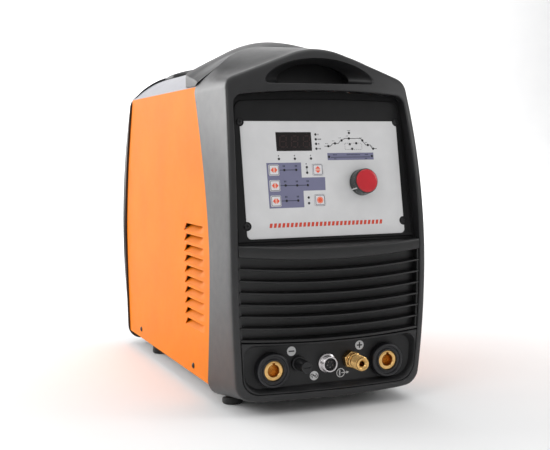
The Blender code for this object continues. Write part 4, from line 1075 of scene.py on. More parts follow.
def label_print():
    """The label's blocks, lamps and lines, with dashes in place of its small print."""
    sheet = Print(FACE, LABEL_TOP)
    sheet.shape("purple", BLOCK)
    sheet.bar("purple", 5.9, 85.4, 63.8, 93.5)
    for at in UNIT_LAMPS + STATE_LAMPS:
        sheet.dot("dark", at, LAMP_R)
    for k, at in enumerate(UNIT_LAMPS):
        caption("grey", sheet, (at[0] + (3.4, 4.6, 3.6, 4.2)[k], at[1]), (1.6, 4.6, 2.0, 3.4)[k])
    for at in STATE_LAMPS:
        caption("grey", sheet, (at[0], at[1] + 3.5), 1.7)
    for dots in CHOICES:
        sheet.line("line", ((-53.2, dots[0][1]), dots[-1]), 0.75, 1)
        for k, at in enumerate(dots):
            sheet.dot("dark", at, LAMP_R, 2)
            caption("line", sheet, (at[0] + 0.2 * k, at[1] + 4.4), 3.1, 2.0, 1)
    for pair in SIDE_PAIRS:
        for at in pair:
            sheet.dot("dark", at, LAMP_R, 1)
    sheet.line("line", SIDE_PAIRS[0], 0.6)
    caption("grey", sheet, (-20.6, 81.6), 1.7)
    cycle_print(sheet)
    header_print(sheet)
    red_band(sheet)
    sheet.finish("label_print_", "cabinet", "label_film")


def cycle_print(sheet):
    """The welding cycle: a stepped line with lamps along it, and a dashed box under it."""
    sheet.line("dark", CYCLE_LINE, 0.62)
    for at in CYCLE + CYCLE_EXTRA:
        sheet.dot("dark", at, LAMP_R, 1)
    for at in CYCLE:
        caption("grey", sheet, (at[0] - 1.8, at[1] + 2.9), 3.4, 0.6)
    caption("grey", sheet, (34.9, 119.0), 4.4, 0.6)
    for k in range(8):
        for low in (97.1, 104.3):
            sheet.bar("grey", 28.7 + 2.7 * k, low, 30.2 + 2.7 * k, low + 0.4)
    for k in range(3):
        for left in (28.4, 49.6):
            sheet.bar("grey", left, 98.2 + 2.2 * k, left + 0.4, 99.4 + 2.2 * k)


def header_print(sheet):
    """The purple strip's line, lamps and captions."""
    for at in ((7.8, 89.2), (61.7, 89.5)):
        sheet.dot("dark", at, LAMP_R, 1)
    sheet.line("line", ((10.5, 88.6), (59.0, 88.6)), 0.7, 1)
    for left, width, height in ((13.0, 5.0, 91.4), (30.0, 17.0, 91.4), (53.0, 4.5, 91.4), (14.0, 3.0, 86.7),
                                (52.5, 3.4, 86.7)):
        caption("line", sheet, (left + width / 2, height), width, 1.1, 1)


BAND_LEFT, BAND_RIGHT, BAND_LOW, BAND_HIGH, BAND_COUNT = -70.0, 69.4, 11.6, 16.4, 28


def red_band(sheet):
    """A plain band of slanting strokes along the foot of the label."""
    pitch = (BAND_RIGHT - BAND_LEFT) / BAND_COUNT
    lean = 1.1
    for k in range(BAND_COUNT):
        left = BAND_LEFT + k * pitch
        right = left + 0.62 * pitch
        stroke = ((right, BAND_LOW), (right + lean, BAND_HIGH), (left + lean, BAND_HIGH), (left, BAND_LOW))
        sheet.shape("red", stroke)


DIGITS, DIGIT_LEAN, DIGIT_LEVELS = 3, 0.1, (0.0013, 0.00141)


def digit_strokes(left, low, wide, high, thick):
    """The seven bars of one digit, as outlines."""
    middle, gap, half = low + high / 2, 0.35, thick / 2
    bars = []
    for v in (low, middle, low + high):
        a, b = left + half + gap, left + wide - half - gap
        bars.append([(a, v), (a + half, v - half), (b - half, v - half), (b, v), (b - half, v + half),
                     (a + half, v + half)])
    for u in (left, left + wide):
        for start, end in ((low, middle), (middle, low + high)):
            a, b = start + gap, end - gap
            bars.append([(u, a), (u + half, a + half), (u + half, b - half), (u, b), (u - half, b - half),
                         (u - half, a + half)])
    return bars


def display():
    """The dark window, with three unlit digits and their points."""
    window = fresh(add_slab, display_outline(0.0, 0.0005), 0.0003, 0.00135, FACE, edge=0.0003, steps=2)
    piece("display_window", window, "cabinet", "display_film", "glass", "display_window")
    left, right, low = (edge / MM for edge in DISPLAY[:3])
    work = bmesh.new()
    for k in range(DIGITS):
        start = left + (k + 0.5) * (right - left) / DIGITS - 3.9
        bars = digit_strokes(start, low + 4.1, 7.4, 12.4, 1.45)
        shapes = [[(u + DIGIT_LEAN * (v - low), v) for u, v in bar] for bar in bars]
        for shape in (*shapes, circle(start + 9.6, low + 4.1, 0.8, 16)):
            add_slab(work, [(u * MM, v * MM) for u, v in shape], *DIGIT_LEVELS, FACE)
    piece("display_digits", work, "cabinet", "display_film", "digits")


KEY_STEPS = ((0.0, -0.005), (0.0, 0.0012), (0.00025, 0.0016), (0.0007, 0.00185), (0.0016, KEY_TOP))


def triangle(u, v, size, way):
    """A pointer with its tip the given way: a unit (u, v) direction."""
    across = (-way[1], way[0])
    corners = [(0.62, 0.0), (-0.28, 0.95), (-0.28, -0.95)]
    aimed = [(a * way[0] + b * across[0], a * way[1] + b * across[1]) for a, b in corners]
    return [(u + size * a, v + size * b) for a, b in aimed]


def key_icon(name, sheet):
    """An eight-sided spot for the gas test, and otherwise a pair of pointers with a bar between."""
    if name == "key_gas_test":
        sheet.shape("orange", circle(0, 0, 3.9, 8), 1)
        sheet.hoop("pale", (0, 0), 3.1, 2.5, 2)
        return
    upright = name == "key_adjust"
    ways = ((0, 1), (0, -1)) if upright else ((1, 0), (-1, 0))
    across, up = (2.6, 0.55) if upright else (0.55, 2.6)
    for way in ways:
        sheet.shape("orange", triangle(way[0] * 1.9, way[1] * 1.9, 3.3, way), 1)
    sheet.bar("pale", -across, -up, across, up, 2)


def keys():
    for name, at in KEYS.items():
        place = face_place(at)
        work = bmesh.new()
        outline = rounded(KEY_HALF, -KEY_HALF, KEY_HALF, 0.0017)
        add_loft(work, [[(u, v, z) for u, v in inset(outline, d)] for d, z in KEY_STEPS], False, place)
        piece(name, work, name, "white_key", "key", name, sharp=50)
        sheet = Print(place, KEY_TOP)
        edge = rounded(5.55, -5.55, 5.55, 1.4)
        sheet.band("line", edge, inset(edge, 0.5))
        key_icon(name, sheet)
        sheet.finish(name + "_print_", name, "white_key")


def knob():
    """The adjusting knob: a body with a fluted grip, a red cap and a white pointer line."""
    place = face_place(KNOB_AT)
    body = [(0, 15), (13.1, 15), (13.8, 14.8), (14.2, 14.2), (14.3, 13.6), (14.4, 13),
            (14.7, 5), (14.7, 4.4), (14.9, 4), (15, 3.4), (15, 2), (14.8, 1.6),
            (3.6, 1.6), (3.2, 2), (3.2, 12), (0, 12)]
    piece("knob_body", fresh(add_turned, body, place, 180, wave=fluted(36, 0.012, 4.5, 13.5)), "knob",
          "trim_plastic", "knob", "knob_body", sharp=45)
    cap = [(0, 17.35), (6, 17.3), (10, 17.1), (11.8, 16.9), (12.6, 16.5), (13, 15.9),
           (13, 15.4), (12.8, 15.15), (0, 15.15)]
    piece("knob_cap", fresh(add_turned, cap, place, 96), "knob", "red_plastic", "red", "knob_cap", sharp=50)
    work = bmesh.new()
    aim = place @ Matrix.Rotation(math.radians(212), 4, "Z")
    round_box(work, (0.0006, 0.0013, 0.012), (0.01492, 0, 0.0084), 0.0002, aim, 0.0001)
    piece("knob_pointer", work, "knob", "white_key", "print_white")


# Front grille and connector panel
SLAT_PITCH, SLAT_COUNT, SLAT_TOP, SLAT_THICK, LAST_SLAT_THICK = 0.0129, 7, 0.1757, 0.0021, 0.0034
SLAT_RISE, SLAT_STATIONS = 0.0003, 41
GRILLE_LOW, GRILLE_BACK = 0.0839, 0.0145
DROOP, DROOP_HALF = 0.0053, 0.11
SHELF_SINK = 0.0006


def across(half, count):
    return [half * (2 * i / (count - 1) - 1) for i in range(count)]


def sag(x, amount):
    return amount * (1 - (x / DROOP_HALF) ** 2)


def grille_half(z):
    return window_half(z, FRONT_RIM, FRONT_LOW) - 0.0005


def blade(work, high, thick, droop):
    """One slat: a rounded front edge that droops towards the middle, rising towards its rear."""
    rings = []
    for share in across(1.0, SLAT_STATIONS):
        x = share * (grille_half(high) - 0.0004)
        top = high - sag(x, droop)
        front = face_depth(x, top) + 0.0012 - RIM_Y
        rear = GRILLE_BACK - 0.0005 - RIM_Y
        low, nose = top - thick, thick / 2
        curve = arc(0, 0, nose, -90, 90, 6)
        rounding = [(x, front + nose - reach, top - nose + up) for reach, up in curve]
        rings.append([(x, rear, low + SLAT_RISE), *rounding, (x, rear, top + SLAT_RISE)])
    add_loft(work, rings)


# How far each point lies behind the shelf's front, and up from its foot or down from its top
SHELF_FOOT = ((0.0018, 0), (0.0004, 0.0005), (0, 0.0016))
SHELF_EDGE = ((0, 0.0028), (0.0004, 0.0013), (0.0013, 0.0004), (0.0026, 0))


def shelf(work):
    """The deep top rail under the fascia, with a soft upper edge and an undercut foot."""
    rings = []
    for share in across(1.0, SLAT_STATIONS):
        foot_z = SLAT_TOP + 0.0011
        x, top_x = share * grille_half(foot_z), share * grille_half(DECK_Z)
        top = DECK_Z - SHELF_SINK - sag(top_x, 0.0047)
        foot = foot_z - sag(x, DROOP)
        back = GRILLE_BACK - RIM_Y
        front = face_depth(x, foot) + 0.001 - RIM_Y
        top_front = face_depth(top_x, top) + 0.001 - RIM_Y
        lower = [(x, front + behind, foot + up) for behind, up in SHELF_FOOT]
        upper = [(top_x, top_front + behind, top - down) for behind, down in SHELF_EDGE]
        rings.append([(x, back, foot + 0.001), *lower, *upper, (top_x, back, DECK_Z - SHELF_SINK)])
    add_loft(work, rings)


def grille_back(work):
    """The wall behind the slats and a cheek at each end."""
    rings = []
    for z in [GRILLE_LOW - 0.002 + (DECK_Z - GRILLE_LOW) * i / 12 for i in range(13)]:
        half, y = grille_half(z), GRILLE_BACK - RIM_Y
        rings.append([(-half, y - 0.0006, z), (half, y - 0.0006, z), (half, y + 0.0004, z),
                      (-half, y + 0.0004, z)])
    add_loft(work, rings)
    for side in (-1, 1):
        rings = []
        for z in [GRILLE_LOW + (DECK_Z - 0.003 - GRILLE_LOW) * i / 12 for i in range(13)]:
            x, inner = side * grille_half(z), side * (grille_half(z) - 0.0022)
            near = face_depth(x, z) + 0.003 - RIM_Y
            back = GRILLE_BACK - RIM_Y
            rings.append([(x, near, z), (inner, near, z), (inner, back, z), (x, back, z)])
        add_loft(work, rings)


def front_grille():
    work = bmesh.new()
    shelf(work)
    for k in range(SLAT_COUNT):
        high = SLAT_TOP - 0.0103 - k * SLAT_PITCH
        thick = LAST_SLAT_THICK if k == SLAT_COUNT - 1 else SLAT_THICK
        blade(work, high, thick, DROOP - 0.0003 * k)
    grille_back(work)
    piece("front_grille", work, "cabinet", "trim_plastic", "grille", "front_grille", sharp=50)


PAN_SAG, PAN_CORNER_STEPS = 0.003, 9


def pan_outline(margin, low, high, low_r, high_r):
    """The window's foot as a rounded outline, with extra points along its top and bottom."""
    half = window_half(low, FRONT_RIM, FRONT_LOW) - margin
    points = [(x, low) for x in across(half - low_r, 15)[1:-1]]
    for side, edge, radius, start in ((1, low, low_r, -90), (1, high, high_r, 0), (-1, high, high_r, 90),
                                      (-1, low, low_r, 180)):
        middle = edge + radius if edge == low else edge - radius
        points += arc(side * (half - radius), middle, radius, start, start + 90, PAN_CORNER_STEPS)
        if start == 0:
            points += [(x, high) for x in across(half - high_r, 15)[-2:0:-1]]
    placed = []
    for x, z in points:
        widen = (window_half(z, FRONT_RIM, FRONT_LOW) - margin) / half
        placed.append((x * widen, z - (sag(x, PAN_SAG) if z > (low + high) / 2 else 0)))
    return placed


# Where each connector stands, and the radius of its hole in millimetres
CONNECTORS = {"socket_left": (-0.07, 0.0504, 13.1), "socket_right": (0.07, 0.0504, 13.1),
              "torch": (-0.0027, 0.052, 8.9), "gas": (0.0262, 0.0542, 7.9), "fuse": (-0.0375, 0.0545, 6.4)}


def connector_panel():
    """A dished black panel with a rolled lip, holes for the connectors and printed marks."""
    outer = pan_outline(0.0006, 0.0252, 0.0834, 0.0196, 0.001)
    lip = pan_outline(0.002, 0.0268, 0.0817, 0.0205, 0.015)
    floor = pan_outline(0.0045, 0.03, 0.0785, 0.019, 0.015)
    depth = CONNECTOR_Y + RIM_Y
    rings = [ring(outer, depth + 0.004, FRONT)]
    for t, behind in ((0, 0.0014), (0.25, 0.0009), (0.75, 0.0009), (1, 0.0014)):
        rings.append(ring(lerp_outline(outer, lip, t), behind_face(behind), FRONT))
    lip_ring, floor_ring = rings[-1], ring(floor, depth, FRONT)
    for t in (0.5, 0.86, 0.96):
        rings.append([tuple(Vector(a).lerp(Vector(b), t)) for a, b in zip(lip_ring, floor_ring)])
    inner = inset(floor, 0.001)
    rings += [ring(lerp_outline(floor, inner, 0.3), depth - 0.0002, FRONT), ring(inner, depth, FRONT)]
    work = fresh(add_loft, rings)
    cutters = bmesh.new()
    for x, z, radius in CONNECTORS.values():
        add_turned(cutters, [(radius, 20), (radius, -20)], facing(x, CONNECTOR_Y, z, FRONT), 48)
    mesh = carved(work, cutters)
    piece("connector_panel", mesh, "cabinet", "trim_plastic", "pan", "connector_panel", sharp=40)


def wave_mark(sheet, at, turn):
    """The coil mark: a white disc with a black double hook across it."""
    sheet.dot("white", at, 5.2, 0, 40)
    hooks = [(-3.3, 0.9), (-2.4, 2.3), (-0.9, 2.3), (0.0, 0.9), (0.0, -0.9), (0.9, -2.3), (2.4, -2.3),
             (3.3, -0.9)]
    for shift in (-1.0, 1.0):
        points = []
        for u, v in hooks:
            v += shift * 1.15
            points.append((at[0] + u * math.cos(turn) - v * math.sin(turn),
                           at[1] + u * math.sin(turn) + v * math.cos(turn)))
        sheet.line("dark", points, 0.75, 1)


def connector_marks():
    """Round marks beside the connectors: minus, plus, coil and gas out."""
    sheet = Print(facing(0, CONNECTOR_Y, 0, FRONT), 0.00002)
    minus, plus, reach, half = (-45.2, 68.6), (38.8, 68.7), 3.4, 0.75
    for at in (minus, plus):
        sheet.dot("white", at, 5.3, 0, 40)
        sheet.bar("dark", at[0] - reach, at[1] - half, at[0] + reach, at[1] + half, 1)
    sheet.bar("dark", plus[0] - half, plus[1] - reach, plus[0] + half, plus[1] + reach, 1)
    wave_mark(sheet, (-17.9, 38.6), math.radians(40))
    u, v = 14.9, 38.9
    sheet.hoop("white", (u, v), 5.2, 4.3)
    for left, low, right, high in ((-1.9, -3.2, -0.3, 2.6), (-1.5, 2.6, -0.7, 3.5), (1.0, -0.45, 8.0, 0.45)):
        sheet.bar("white", u + left, v + low, u + right, v + high)
    sheet.shape("white", [(u + 7.4, v - 1.7), (u + 10.4, v), (u + 7.4, v + 1.7)])
    sheet.finish("connector_marks_", "cabinet", "label_film")


def connector_place(key):
    x, z = CONNECTORS[key][:2]
    return facing(x, CONNECTOR_Y, z, FRONT)


COLLAR = [(11.4, 9.2), (11.8, 9.9), (12.8, 10), (13.4, 9.4), (13.7, 8.4), (15.2, 8),
          (15.8, 8.4), (16, 9.5), (16.6, 10), (17.8, 10), (18.6, 9.6), (19.1, 8.8),
          (19.4, 7.6), (19.5, 6), (19.5, 0.3), (12.7, 0.3), (12.7, -20),
          (11.4, -20)]
CONTACT = [(0, -12), (5.8, -12), (6, -2), (6.2, 7), (6.6, 8.4), (7.2, 9),
           (10, 9), (10.7, 8.7), (11, 8), (11, -24), (5, -24),
           (5, -38), (0, -38)]


def sockets():
    """Bayonet welding sockets: a stepped insulating collar round a bored brass contact with its key slot."""
    for side in ("left", "right"):
        place = connector_place("socket_" + side)
        work = fresh(add_turned, COLLAR, place, 96, bore=True)
        piece("socket_collar_" + side, work, "cabinet", "trim_plastic", "collar", "socket_collar_" + side,
              sharp=50)
        work = fresh(add_turned, CONTACT, None, 72)
        slot = fresh(round_box, (0.0034, 0.004, 0.016), (0, 0.0072, 0.004), 0.0012, None, 0.0002)
        mesh = carved(work, slot)
        mesh.transform(place)
        piece("socket_contact_" + side, mesh, *BRASS, "socket_contact_" + side, sharp=40)


def thread(low, high, pitch, depth, radius):
    """A profile of small ridges from the top down, as (radius, height) points."""
    points, count = [], int((high - low) / pitch)
    for k in range(count):
        top = high - k * pitch
        points += [(radius - depth, top - 0.15 * pitch), (radius, top - 0.4 * pitch),
                   (radius, top - 0.6 * pitch),
                   (radius - depth, top - 0.85 * pitch)]
    return points


def fluted(count, depth, low, high):
    """A wave of rounded flutes between two heights, for add_turned."""
    def wave(angle, height):
        if not low < height < high:
            return 1.0
        return 1.0 - depth * (0.5 + 0.5 * math.cos(count * angle))

    return wave


def hexagon(angle, _):
    """A wave that makes a hexagon with clipped corners, at every height."""
    turned_by = (angle + math.pi / 6) % (math.pi / 3) - math.pi / 6
    return min(1.0, 0.9 / math.cos(turned_by))


def torch_connector():
    """A threaded nickel shell with a keyed insert and five pins."""
    place = connector_place("torch")
    shell = [(7, 10.6), (7.3, 11), (8.6, 11), (9, 10.6)]
    shell += thread(3.6, 9.2, 1.1, 0.35, 9)
    shell += [(9, 3.4), (10, 3.2), (10.7, 2.8), (10.8, 2.2), (10.8, 0.3), (8.5, 0.3),
              (8.5, -10), (7, -10)]
    work = fresh(add_turned, shell, place, 72, bore=True)
    piece("torch_connector_shell", work, "cabinet", "nickel", "nickel", "torch_connector_shell", sharp=45)
    work = bmesh.new()
    insert = [(0, 7), (5.2, 7), (5.6, 7.5), (6.5, 7.5), (6.7, 7.2), (6.7, -11),
              (0, -11)]
    add_turned(work, insert, place, 48)
    round_box(work, (0.0022, 0.0016, 0.003), (0, 0.0058, 0.008), 0.0005, place, 0.0002)
    piece("torch_connector_insert", work, *TRIM, "torch_connector_insert")
    work = bmesh.new()
    pin = [(0, 10.1), (0.3, 10), (0.55, 9.6), (0.6, 9.2), (0.6, 6.6), (0, 6.6)]
    for k in range(5):
        angle = math.radians(54 + 72 * k)
        spot = Matrix.Translation((0.0034 * math.cos(angle), 0.0034 * math.sin(angle), 0))
        add_turned(work, pin, place @ spot, 16)
    piece("torch_connector_pins", work, "cabinet", "nickel", "nickel")


def gas_outlet():
    """The brass gas outlet: a hexagon base and a threaded spigot with a coned, bored end."""
    place = connector_place("gas")
    reach = (TIP_Y - RIM_Y) / MM + 14
    spigot = [(0, 6), (2.8, 6), (3, reach - 2), (4.6, reach - 0.4), (5.2, reach),
              (6.6, reach), (7.3, reach - 0.5), (7.6, reach - 1.4)]
    spigot += thread(18.5, reach - 2, 1.3, 0.6, 8)
    spigot += [(8, 18), (7, 17.6), (6.8, 16.6), (6.8, 14.6), (8, 14),
               (8, 12.2), (7, 11.6), (7, 10.4), (7.4, 10), (7.5, -20), (0, -20)]
    work = fresh(add_turned, spigot, place, 72)
    nut = [(7.2, 9.6), (9.2, 9.6), (10.1, 9), (10.5, 8.2), (10.5, 1.2), (10.1, 0.4),
           (7.2, 0.4)]
    add_turned(work, nut, place @ Matrix.Rotation(0.2, 4, "Z"), 96, bore=True, wave=hexagon)
    piece("gas_outlet", work, *BRASS, "gas_outlet", sharp=35)


def fuse():
    """The panel fuse holder and its ribbed cap with a slot across it."""
    place = connector_place("fuse")
    work = bmesh.new()
    holder = [(0, 4), (7.2, 4), (8, 3.7), (8.5, 3), (8.5, 0.3), (6, 0.3),
              (6, -28), (0, -28)]
    add_turned(work, holder, place, 64)
    piece("fuse_holder", work, *TRIM, "fuse_holder")
    cap = [(0, 25.8), (5, 25.8), (5.6, 26), (6.2, 25.8), (6.6, 25), (6.6, 24.6),
           (6.6, 24), (6.6, 6.6), (6.6, 5.8), (6.6, 5), (6.4, 4.4), (0, 4.4)]
    work = fresh(add_turned, cap, None, 144, wave=fluted(24, 0.03, 6, 24.5))
    slot = fresh(round_box, (0.009, 0.0012, 0.003), (0, 0, 0.0262), 0.0003, None, 0.0001)
    mesh = carved(work, slot)
    mesh.transform(place)
    piece("fuse_cap", mesh, "fuse_cap", "trim_plastic", "trim", "fuse_cap", sharp=45)


# Rear
SWITCH_AT, GLAND_AT, INLET_AT = (-0.0735, 0.274), (-0.068, 0.06), (0.068, 0.06)
PLATE = 0.0015
SLOT_PITCH, SLOT_HALF, OUTLET_R = 0.012, 0.0035, 0.0555


def rear_place(at, out=0.0):
    return facing(at[0], REAR_PLATE_Y + out, at[1], REAR)


def fan_slots():
    """Rounded slots across the round air outlet."""
    work = bmesh.new()
    for k in range(-4, 5):
        z = k * SLOT_PITCH
        slot = rounded(math.sqrt(OUTLET_R**2 - z**2), FAN_Z + z - SLOT_HALF, FAN_Z + z + SLOT_HALF, 0.0034)
        add_slab(work, slot, -0.02, 0.02, facing(0, REAR_PLATE_Y, 0, REAR))
    return work


def rear_panel():
    """The grey rear plate with its slots and its openings for the switch, the gland and the gas inlet."""
    work = fresh(add_slab, inset(REAR_WINDOW, 0.0005), -PLATE, 0.0, facing(0, REAR_PLATE_Y, 0, REAR),
                 edge=0.0003, steps=2)
    holes = fresh(round_box, (0.0225, 0.0295, 0.02), (0, 0, 0), 0.0006, rear_place(SWITCH_AT))
    for at, radius in ((GLAND_AT, 8.3), (INLET_AT, 6.8)):
        add_turned(holes, [(radius, 10), (radius, -10)], rear_place(at), 48)
    piece("rear_panel", carved(work, fan_slots(), holes), "cabinet", "grey_steel", "grey", "rear_panel")


RATING_AT, RATING_TOP = (0.07, 0.112), 0.0006
RATING_EDGES = ((-22.6, -13.6, 22.6, -13.2), (-22.6, 13.2, 22.6, 13.6), (-22.6, -13.6, -22.2, 13.6),
                (22.2, -13.6, 22.6, 13.6))


def rating_plate():
    """The rating plate: a ruled table with no wording."""
    place = rear_place(RATING_AT)
    outline = rounded(0.024, -0.015, 0.015, 0.0015)
    work = fresh(add_slab, outline, 0.0001, RATING_TOP, place, edge=0.0002, steps=2)
    piece("rear_rating_plate", work, "cabinet", "label_film", "plate")
    sheet = Print(place, RATING_TOP)
    for edge in RATING_EDGES:
        sheet.bar("dark", *edge)
    for k in range(1, 6):
        sheet.bar("grey", -22.2, -13.4 + 4.45 * k, 22.2, -13.1 + 4.45 * k)
    sheet.bar("grey", -6.0, -13.2, -5.7, 8.8)
    sheet.finish("rear_rating_print_", "cabinet", "label_film")


REAR_SCREWS = ((-0.094, 0.288), (0.094, 0.288), (-0.098, 0.17), (0.098, 0.17), (-0.088, 0.042),
               (0.088, 0.042))
FAN_SCREW = 0.0525


def rear_screws():
    heads = [screw_mesh(rear_place(at)) for at in REAR_SCREWS]
    piece("rear_screws", joined(heads), "cabinet", "nickel", "steel")
    corners = [(u * FAN_SCREW, FAN_Z + v * FAN_SCREW) for u in (-1, 1) for v in (-1, 1)]
    heads = [screw_mesh(rear_place(at)) for at in corners]
    piece("fan_screws", joined(heads), "cabinet", "nickel", "steel")


FAN_DEEP, FAN_BLADES = 0.025, 7
FAN_MIDDLE = PLATE + 0.0003 + FAN_DEEP / 2
HUB_R, BLADE_TWIST, BLADE_ROOT, BLADE_NARROWS = 0.0185, 14, 40, 8  # the last three in degrees
# Round a blade's section: share of its width, and thickness
BLADE_SECTION = ((-0.5, 0.0), (-0.3, 0.0005), (0.0, 0.0008), (0.3, 0.0005), (0.5, 0.0), (0.3, -0.0005),
                 (0.0, -0.0008), (-0.3, -0.0005))


def fan_frame():
    """The fan's square frame, with its motor seat and four struts towards the inside."""
    place = rear_place((0, FAN_Z), -FAN_MIDDLE)
    work = bmesh.new()
    outline, near = rounded(0.06, -0.06, 0.06, 0.005), FAN_DEEP / 2
    small = inset(outline, 0.0006)
    levels = ((small, -near), (outline, 0.0006 - near), (outline, near - 0.0006), (small, near))
    add_loft(work, lifted(levels), False, place)
    bore = circle(0, 0, 0.0578, 96)
    hole = fresh(add_loft, lifted(((bore, -0.03), (bore, 0.03))), False, place)
    work = joined([carved(work, hole)])
    motor = -near / MM
    add_turned(work, [(0, motor + 3.6), (15, motor + 3.6), (16, motor + 3), (16, motor), (0, motor)], place,
               48)
    for k in range(4):
        turn = Matrix.Rotation(math.radians(45 + 90 * k), 4, "Z")
        round_box(work, (0.046, 0.005, 0.003), (0.036, 0, -near + 0.0018), 0.0005, place @ turn, 0.0004)
    piece("fan_frame", work, *TRIM, "fan_frame")


def fan_blade_ring(index, t):
    """A section of one fan blade, from its root (t 0) to its tip (t 1)."""
    radius = HUB_R + (FAN_R - 0.0008 - HUB_R) * t
    sweep = math.radians(360 / FAN_BLADES * index + BLADE_TWIST * t)
    width = math.radians(BLADE_ROOT - BLADE_NARROWS * t)
    points = []
    for share, thick in BLADE_SECTION:
        angle = sweep + share * width
        lift = share * (0.01 - 0.0015 * t) + 0.0012 * math.cos(math.pi * share)
        points.append((radius * math.cos(angle), radius * math.sin(angle), lift + thick))
    return points


def fan_rotor():
    """The fan's hub with twisted, thin blades."""
    place = rear_place((0, FAN_Z), 0.002 - FAN_MIDDLE)
    work = bmesh.new()
    hub = [(0, 6.5), (16, 6.5), (18, 5.8), (18.8, 4.4), (19, 3), (19, -6.2),
           (18.5, -6.8), (0, -6.8)]
    add_turned(work, hub, place, 64)
    for index in range(FAN_BLADES):
        add_loft(work, [fan_blade_ring(index, i / 8) for i in range(9)], False, place)
    piece("fan_rotor", work, "fan_rotor", "trim_plastic", "trim", "fan_rotor")


ROCKER_HALF, ROCKER_LOW, ROCKER_DISH, ROCKER_LEAN, MARK_V = 0.0118, 0.0022, 0.0016, 8, 0.0072


def rocker_top(v):
    return ROCKER_LOW + ROCKER_DISH * (v / ROCKER_HALF) ** 2


def power_switch():
    """A rocker switch in its bezel, resting at off."""
    place = rear_place(SWITCH_AT)
    outline = rounded(0.0125, -0.016, 0.016, 0.0012, 4)
    mouth = rounded(0.00925, -0.0128, 0.0128, 0.0008, 4)
    body = rounded(0.01075, -0.01425, 0.01425, 0.0006, 4)
    levels = ((body, -0.022), (body, 0.0004), (outline, 0.0004), (outline, 0.0014),
              (inset(outline, 0.0003), 0.0021), (inset(outline, 0.0009), 0.0024),
              (inset(mouth, -0.0004), 0.0024), (mouth, 0.0021), (mouth, -0.01))
    piece("switch_body", fresh(add_loft, lifted(levels), False, place), *TRIM, "switch_body")
    rest = place @ Matrix.Rotation(math.radians(ROCKER_LEAN), 4, "X")
    dish = [(v, rocker_top(v)) for v in across(ROCKER_HALF, 17)]
    section = [(-0.0112, -0.005), (-0.0119, 0.0034), *dish, (0.0119, 0.0034), (0.0112, -0.005)]
    rings = [[(u, v * squeeze, w - drop) for v, w in section]
             for u, squeeze, drop in ((-0.0088, 0.985, 0.0003), (-0.0085, 1.0, 0.0), (0.0085, 1.0, 0.0),
                                      (0.0088, 0.985, 0.0003))]
    piece("switch_rocker", fresh(add_loft, rings, False, rest), "switch_rocker", "trim_plastic", "trim",
          "switch_rocker", sharp=40)
    switch_marks(rest)


def switch_marks(rest):
    """A bar at the on end of the rocker and a ring at the off end."""
    work = bmesh.new()
    for v in (MARK_V, -MARK_V):
        lean = Matrix.Rotation(math.atan(2 * ROCKER_DISH * v / ROCKER_HALF**2), 4, "X")
        spot = rest @ Matrix.Translation((0, v, rocker_top(v))) @ lean
        if v > 0:
            round_box(work, (0.001, 0.0052, 0.0002), (0, 0, 0.0001), 0.0004, spot, 0.00004)
            continue
        outer, inner = circle(0, 0, 0.0026, 32), circle(0, 0, 0.0017, 32)
        levels = ((outer, -0.0001), (outer, 0.00016), (inner, 0.00016), (inner, -0.0001))
        add_loft(work, lifted(levels), True, spot)
    piece("switch_marks", work, "switch_rocker", "white_key", "print_white")


def gas_inlet():
    """The hose barb for the gas, on a hexagon base."""
    place, reach = rear_place(INLET_AT), (TIP_Y - REAR_PLATE_Y) / MM
    barb = [(0, -12), (1.9, -12), (2, reach - 0.3), (2.4, reach), (3.2, reach),
            (3.6, reach - 0.4)]
    for k in range(4):
        top = reach - 5.2 * k
        barb += [(4.8, top - 4.4), (4.8, top - 4.9), (3.9, top - 5.3)]
    barb += [(4, 11), (5.2, 10.4), (6.4, 9.6), (6.4, -14), (0, -14)]
    work = fresh(add_turned, barb, place, 48)
    nut = [(6.2, 10), (8.6, 10), (9.2, 9.6), (9.5, 8.8), (9.5, 1.2), (9.1, 0.4),
           (6.2, 0.4)]
    add_turned(work, nut, place, 96, bore=True, wave=hexagon)
    piece("gas_inlet", work, *BRASS, "gas_inlet", sharp=35)


def cable_gland():
    """The power cord's gland: a gripped cap, a hexagon nut and a rubber seal."""
    place = rear_place(GLAND_AT)
    gland = [(6, 21.6), (6.3, 22), (8.2, 22), (9, 21.6), (9.8, 20), (10.8, 16.4),
             (11, 15.2), (11, 7.2), (10.4, 6.6), (8, 6.4), (8, -10), (6, -10)]
    work = fresh(add_turned, gland, place, 144, bore=True, wave=fluted(18, 0.035, 7, 16))
    nut = [(7.8, 6.4), (11.6, 6.4), (12.2, 6), (12.5, 5.2), (12.5, 1), (12.1, 0.3),
           (7.8, 0.3)]
    add_turned(work, nut, place, 96, bore=True, wave=hexagon)
    piece("cable_gland", work, *TRIM, "cable_gland")
    work = bmesh.new()
    seal = [(4.6, 21.2), (4.9, 21.6), (5.8, 21.6), (6, 21.2), (6, -8), (4.6, -8)]
    add_turned(work, seal, place, 48, bore=True)
    piece("cable_gland_seal", work, *RUBBER)


# CAD nodes whose shape is right: a better material on the same mesh
CARRIED = {"base_plate": "zinc", "chassis_tray": "zinc",
           "heat_sink": "aluminium", "filter_capacitor": "aluminium", "inverter_board": "board",
           "control_board": "board", "arc_starter_coil": "copper",
           "transformer_winding": "copper", "output_choke": "copper", "transformer_core": "ferrite",
           "solenoid_valve": "brass", "gas_hose": "hose", "busbar_minus": "busbar", "busbar_plus": "busbar",
           "knob_shaft": "nickel"}


def carry_over():
    for name, look in CARRIED.items():
        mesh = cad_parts[name].data
        for index in range(len(mesh.materials)):
            mesh.materials[index] = LOOKS[look]
        if not mesh.materials:
            mesh.materials.append(LOOKS[look])


# Studio
CAMERA_AT = (-0.4613, -1.23456, 0.29045)
YAW, PITCH, ROLL = math.radians(21.795), math.radians(4.318), math.radians(-0.532)
LENS, SENSOR = 64.515, 36.0


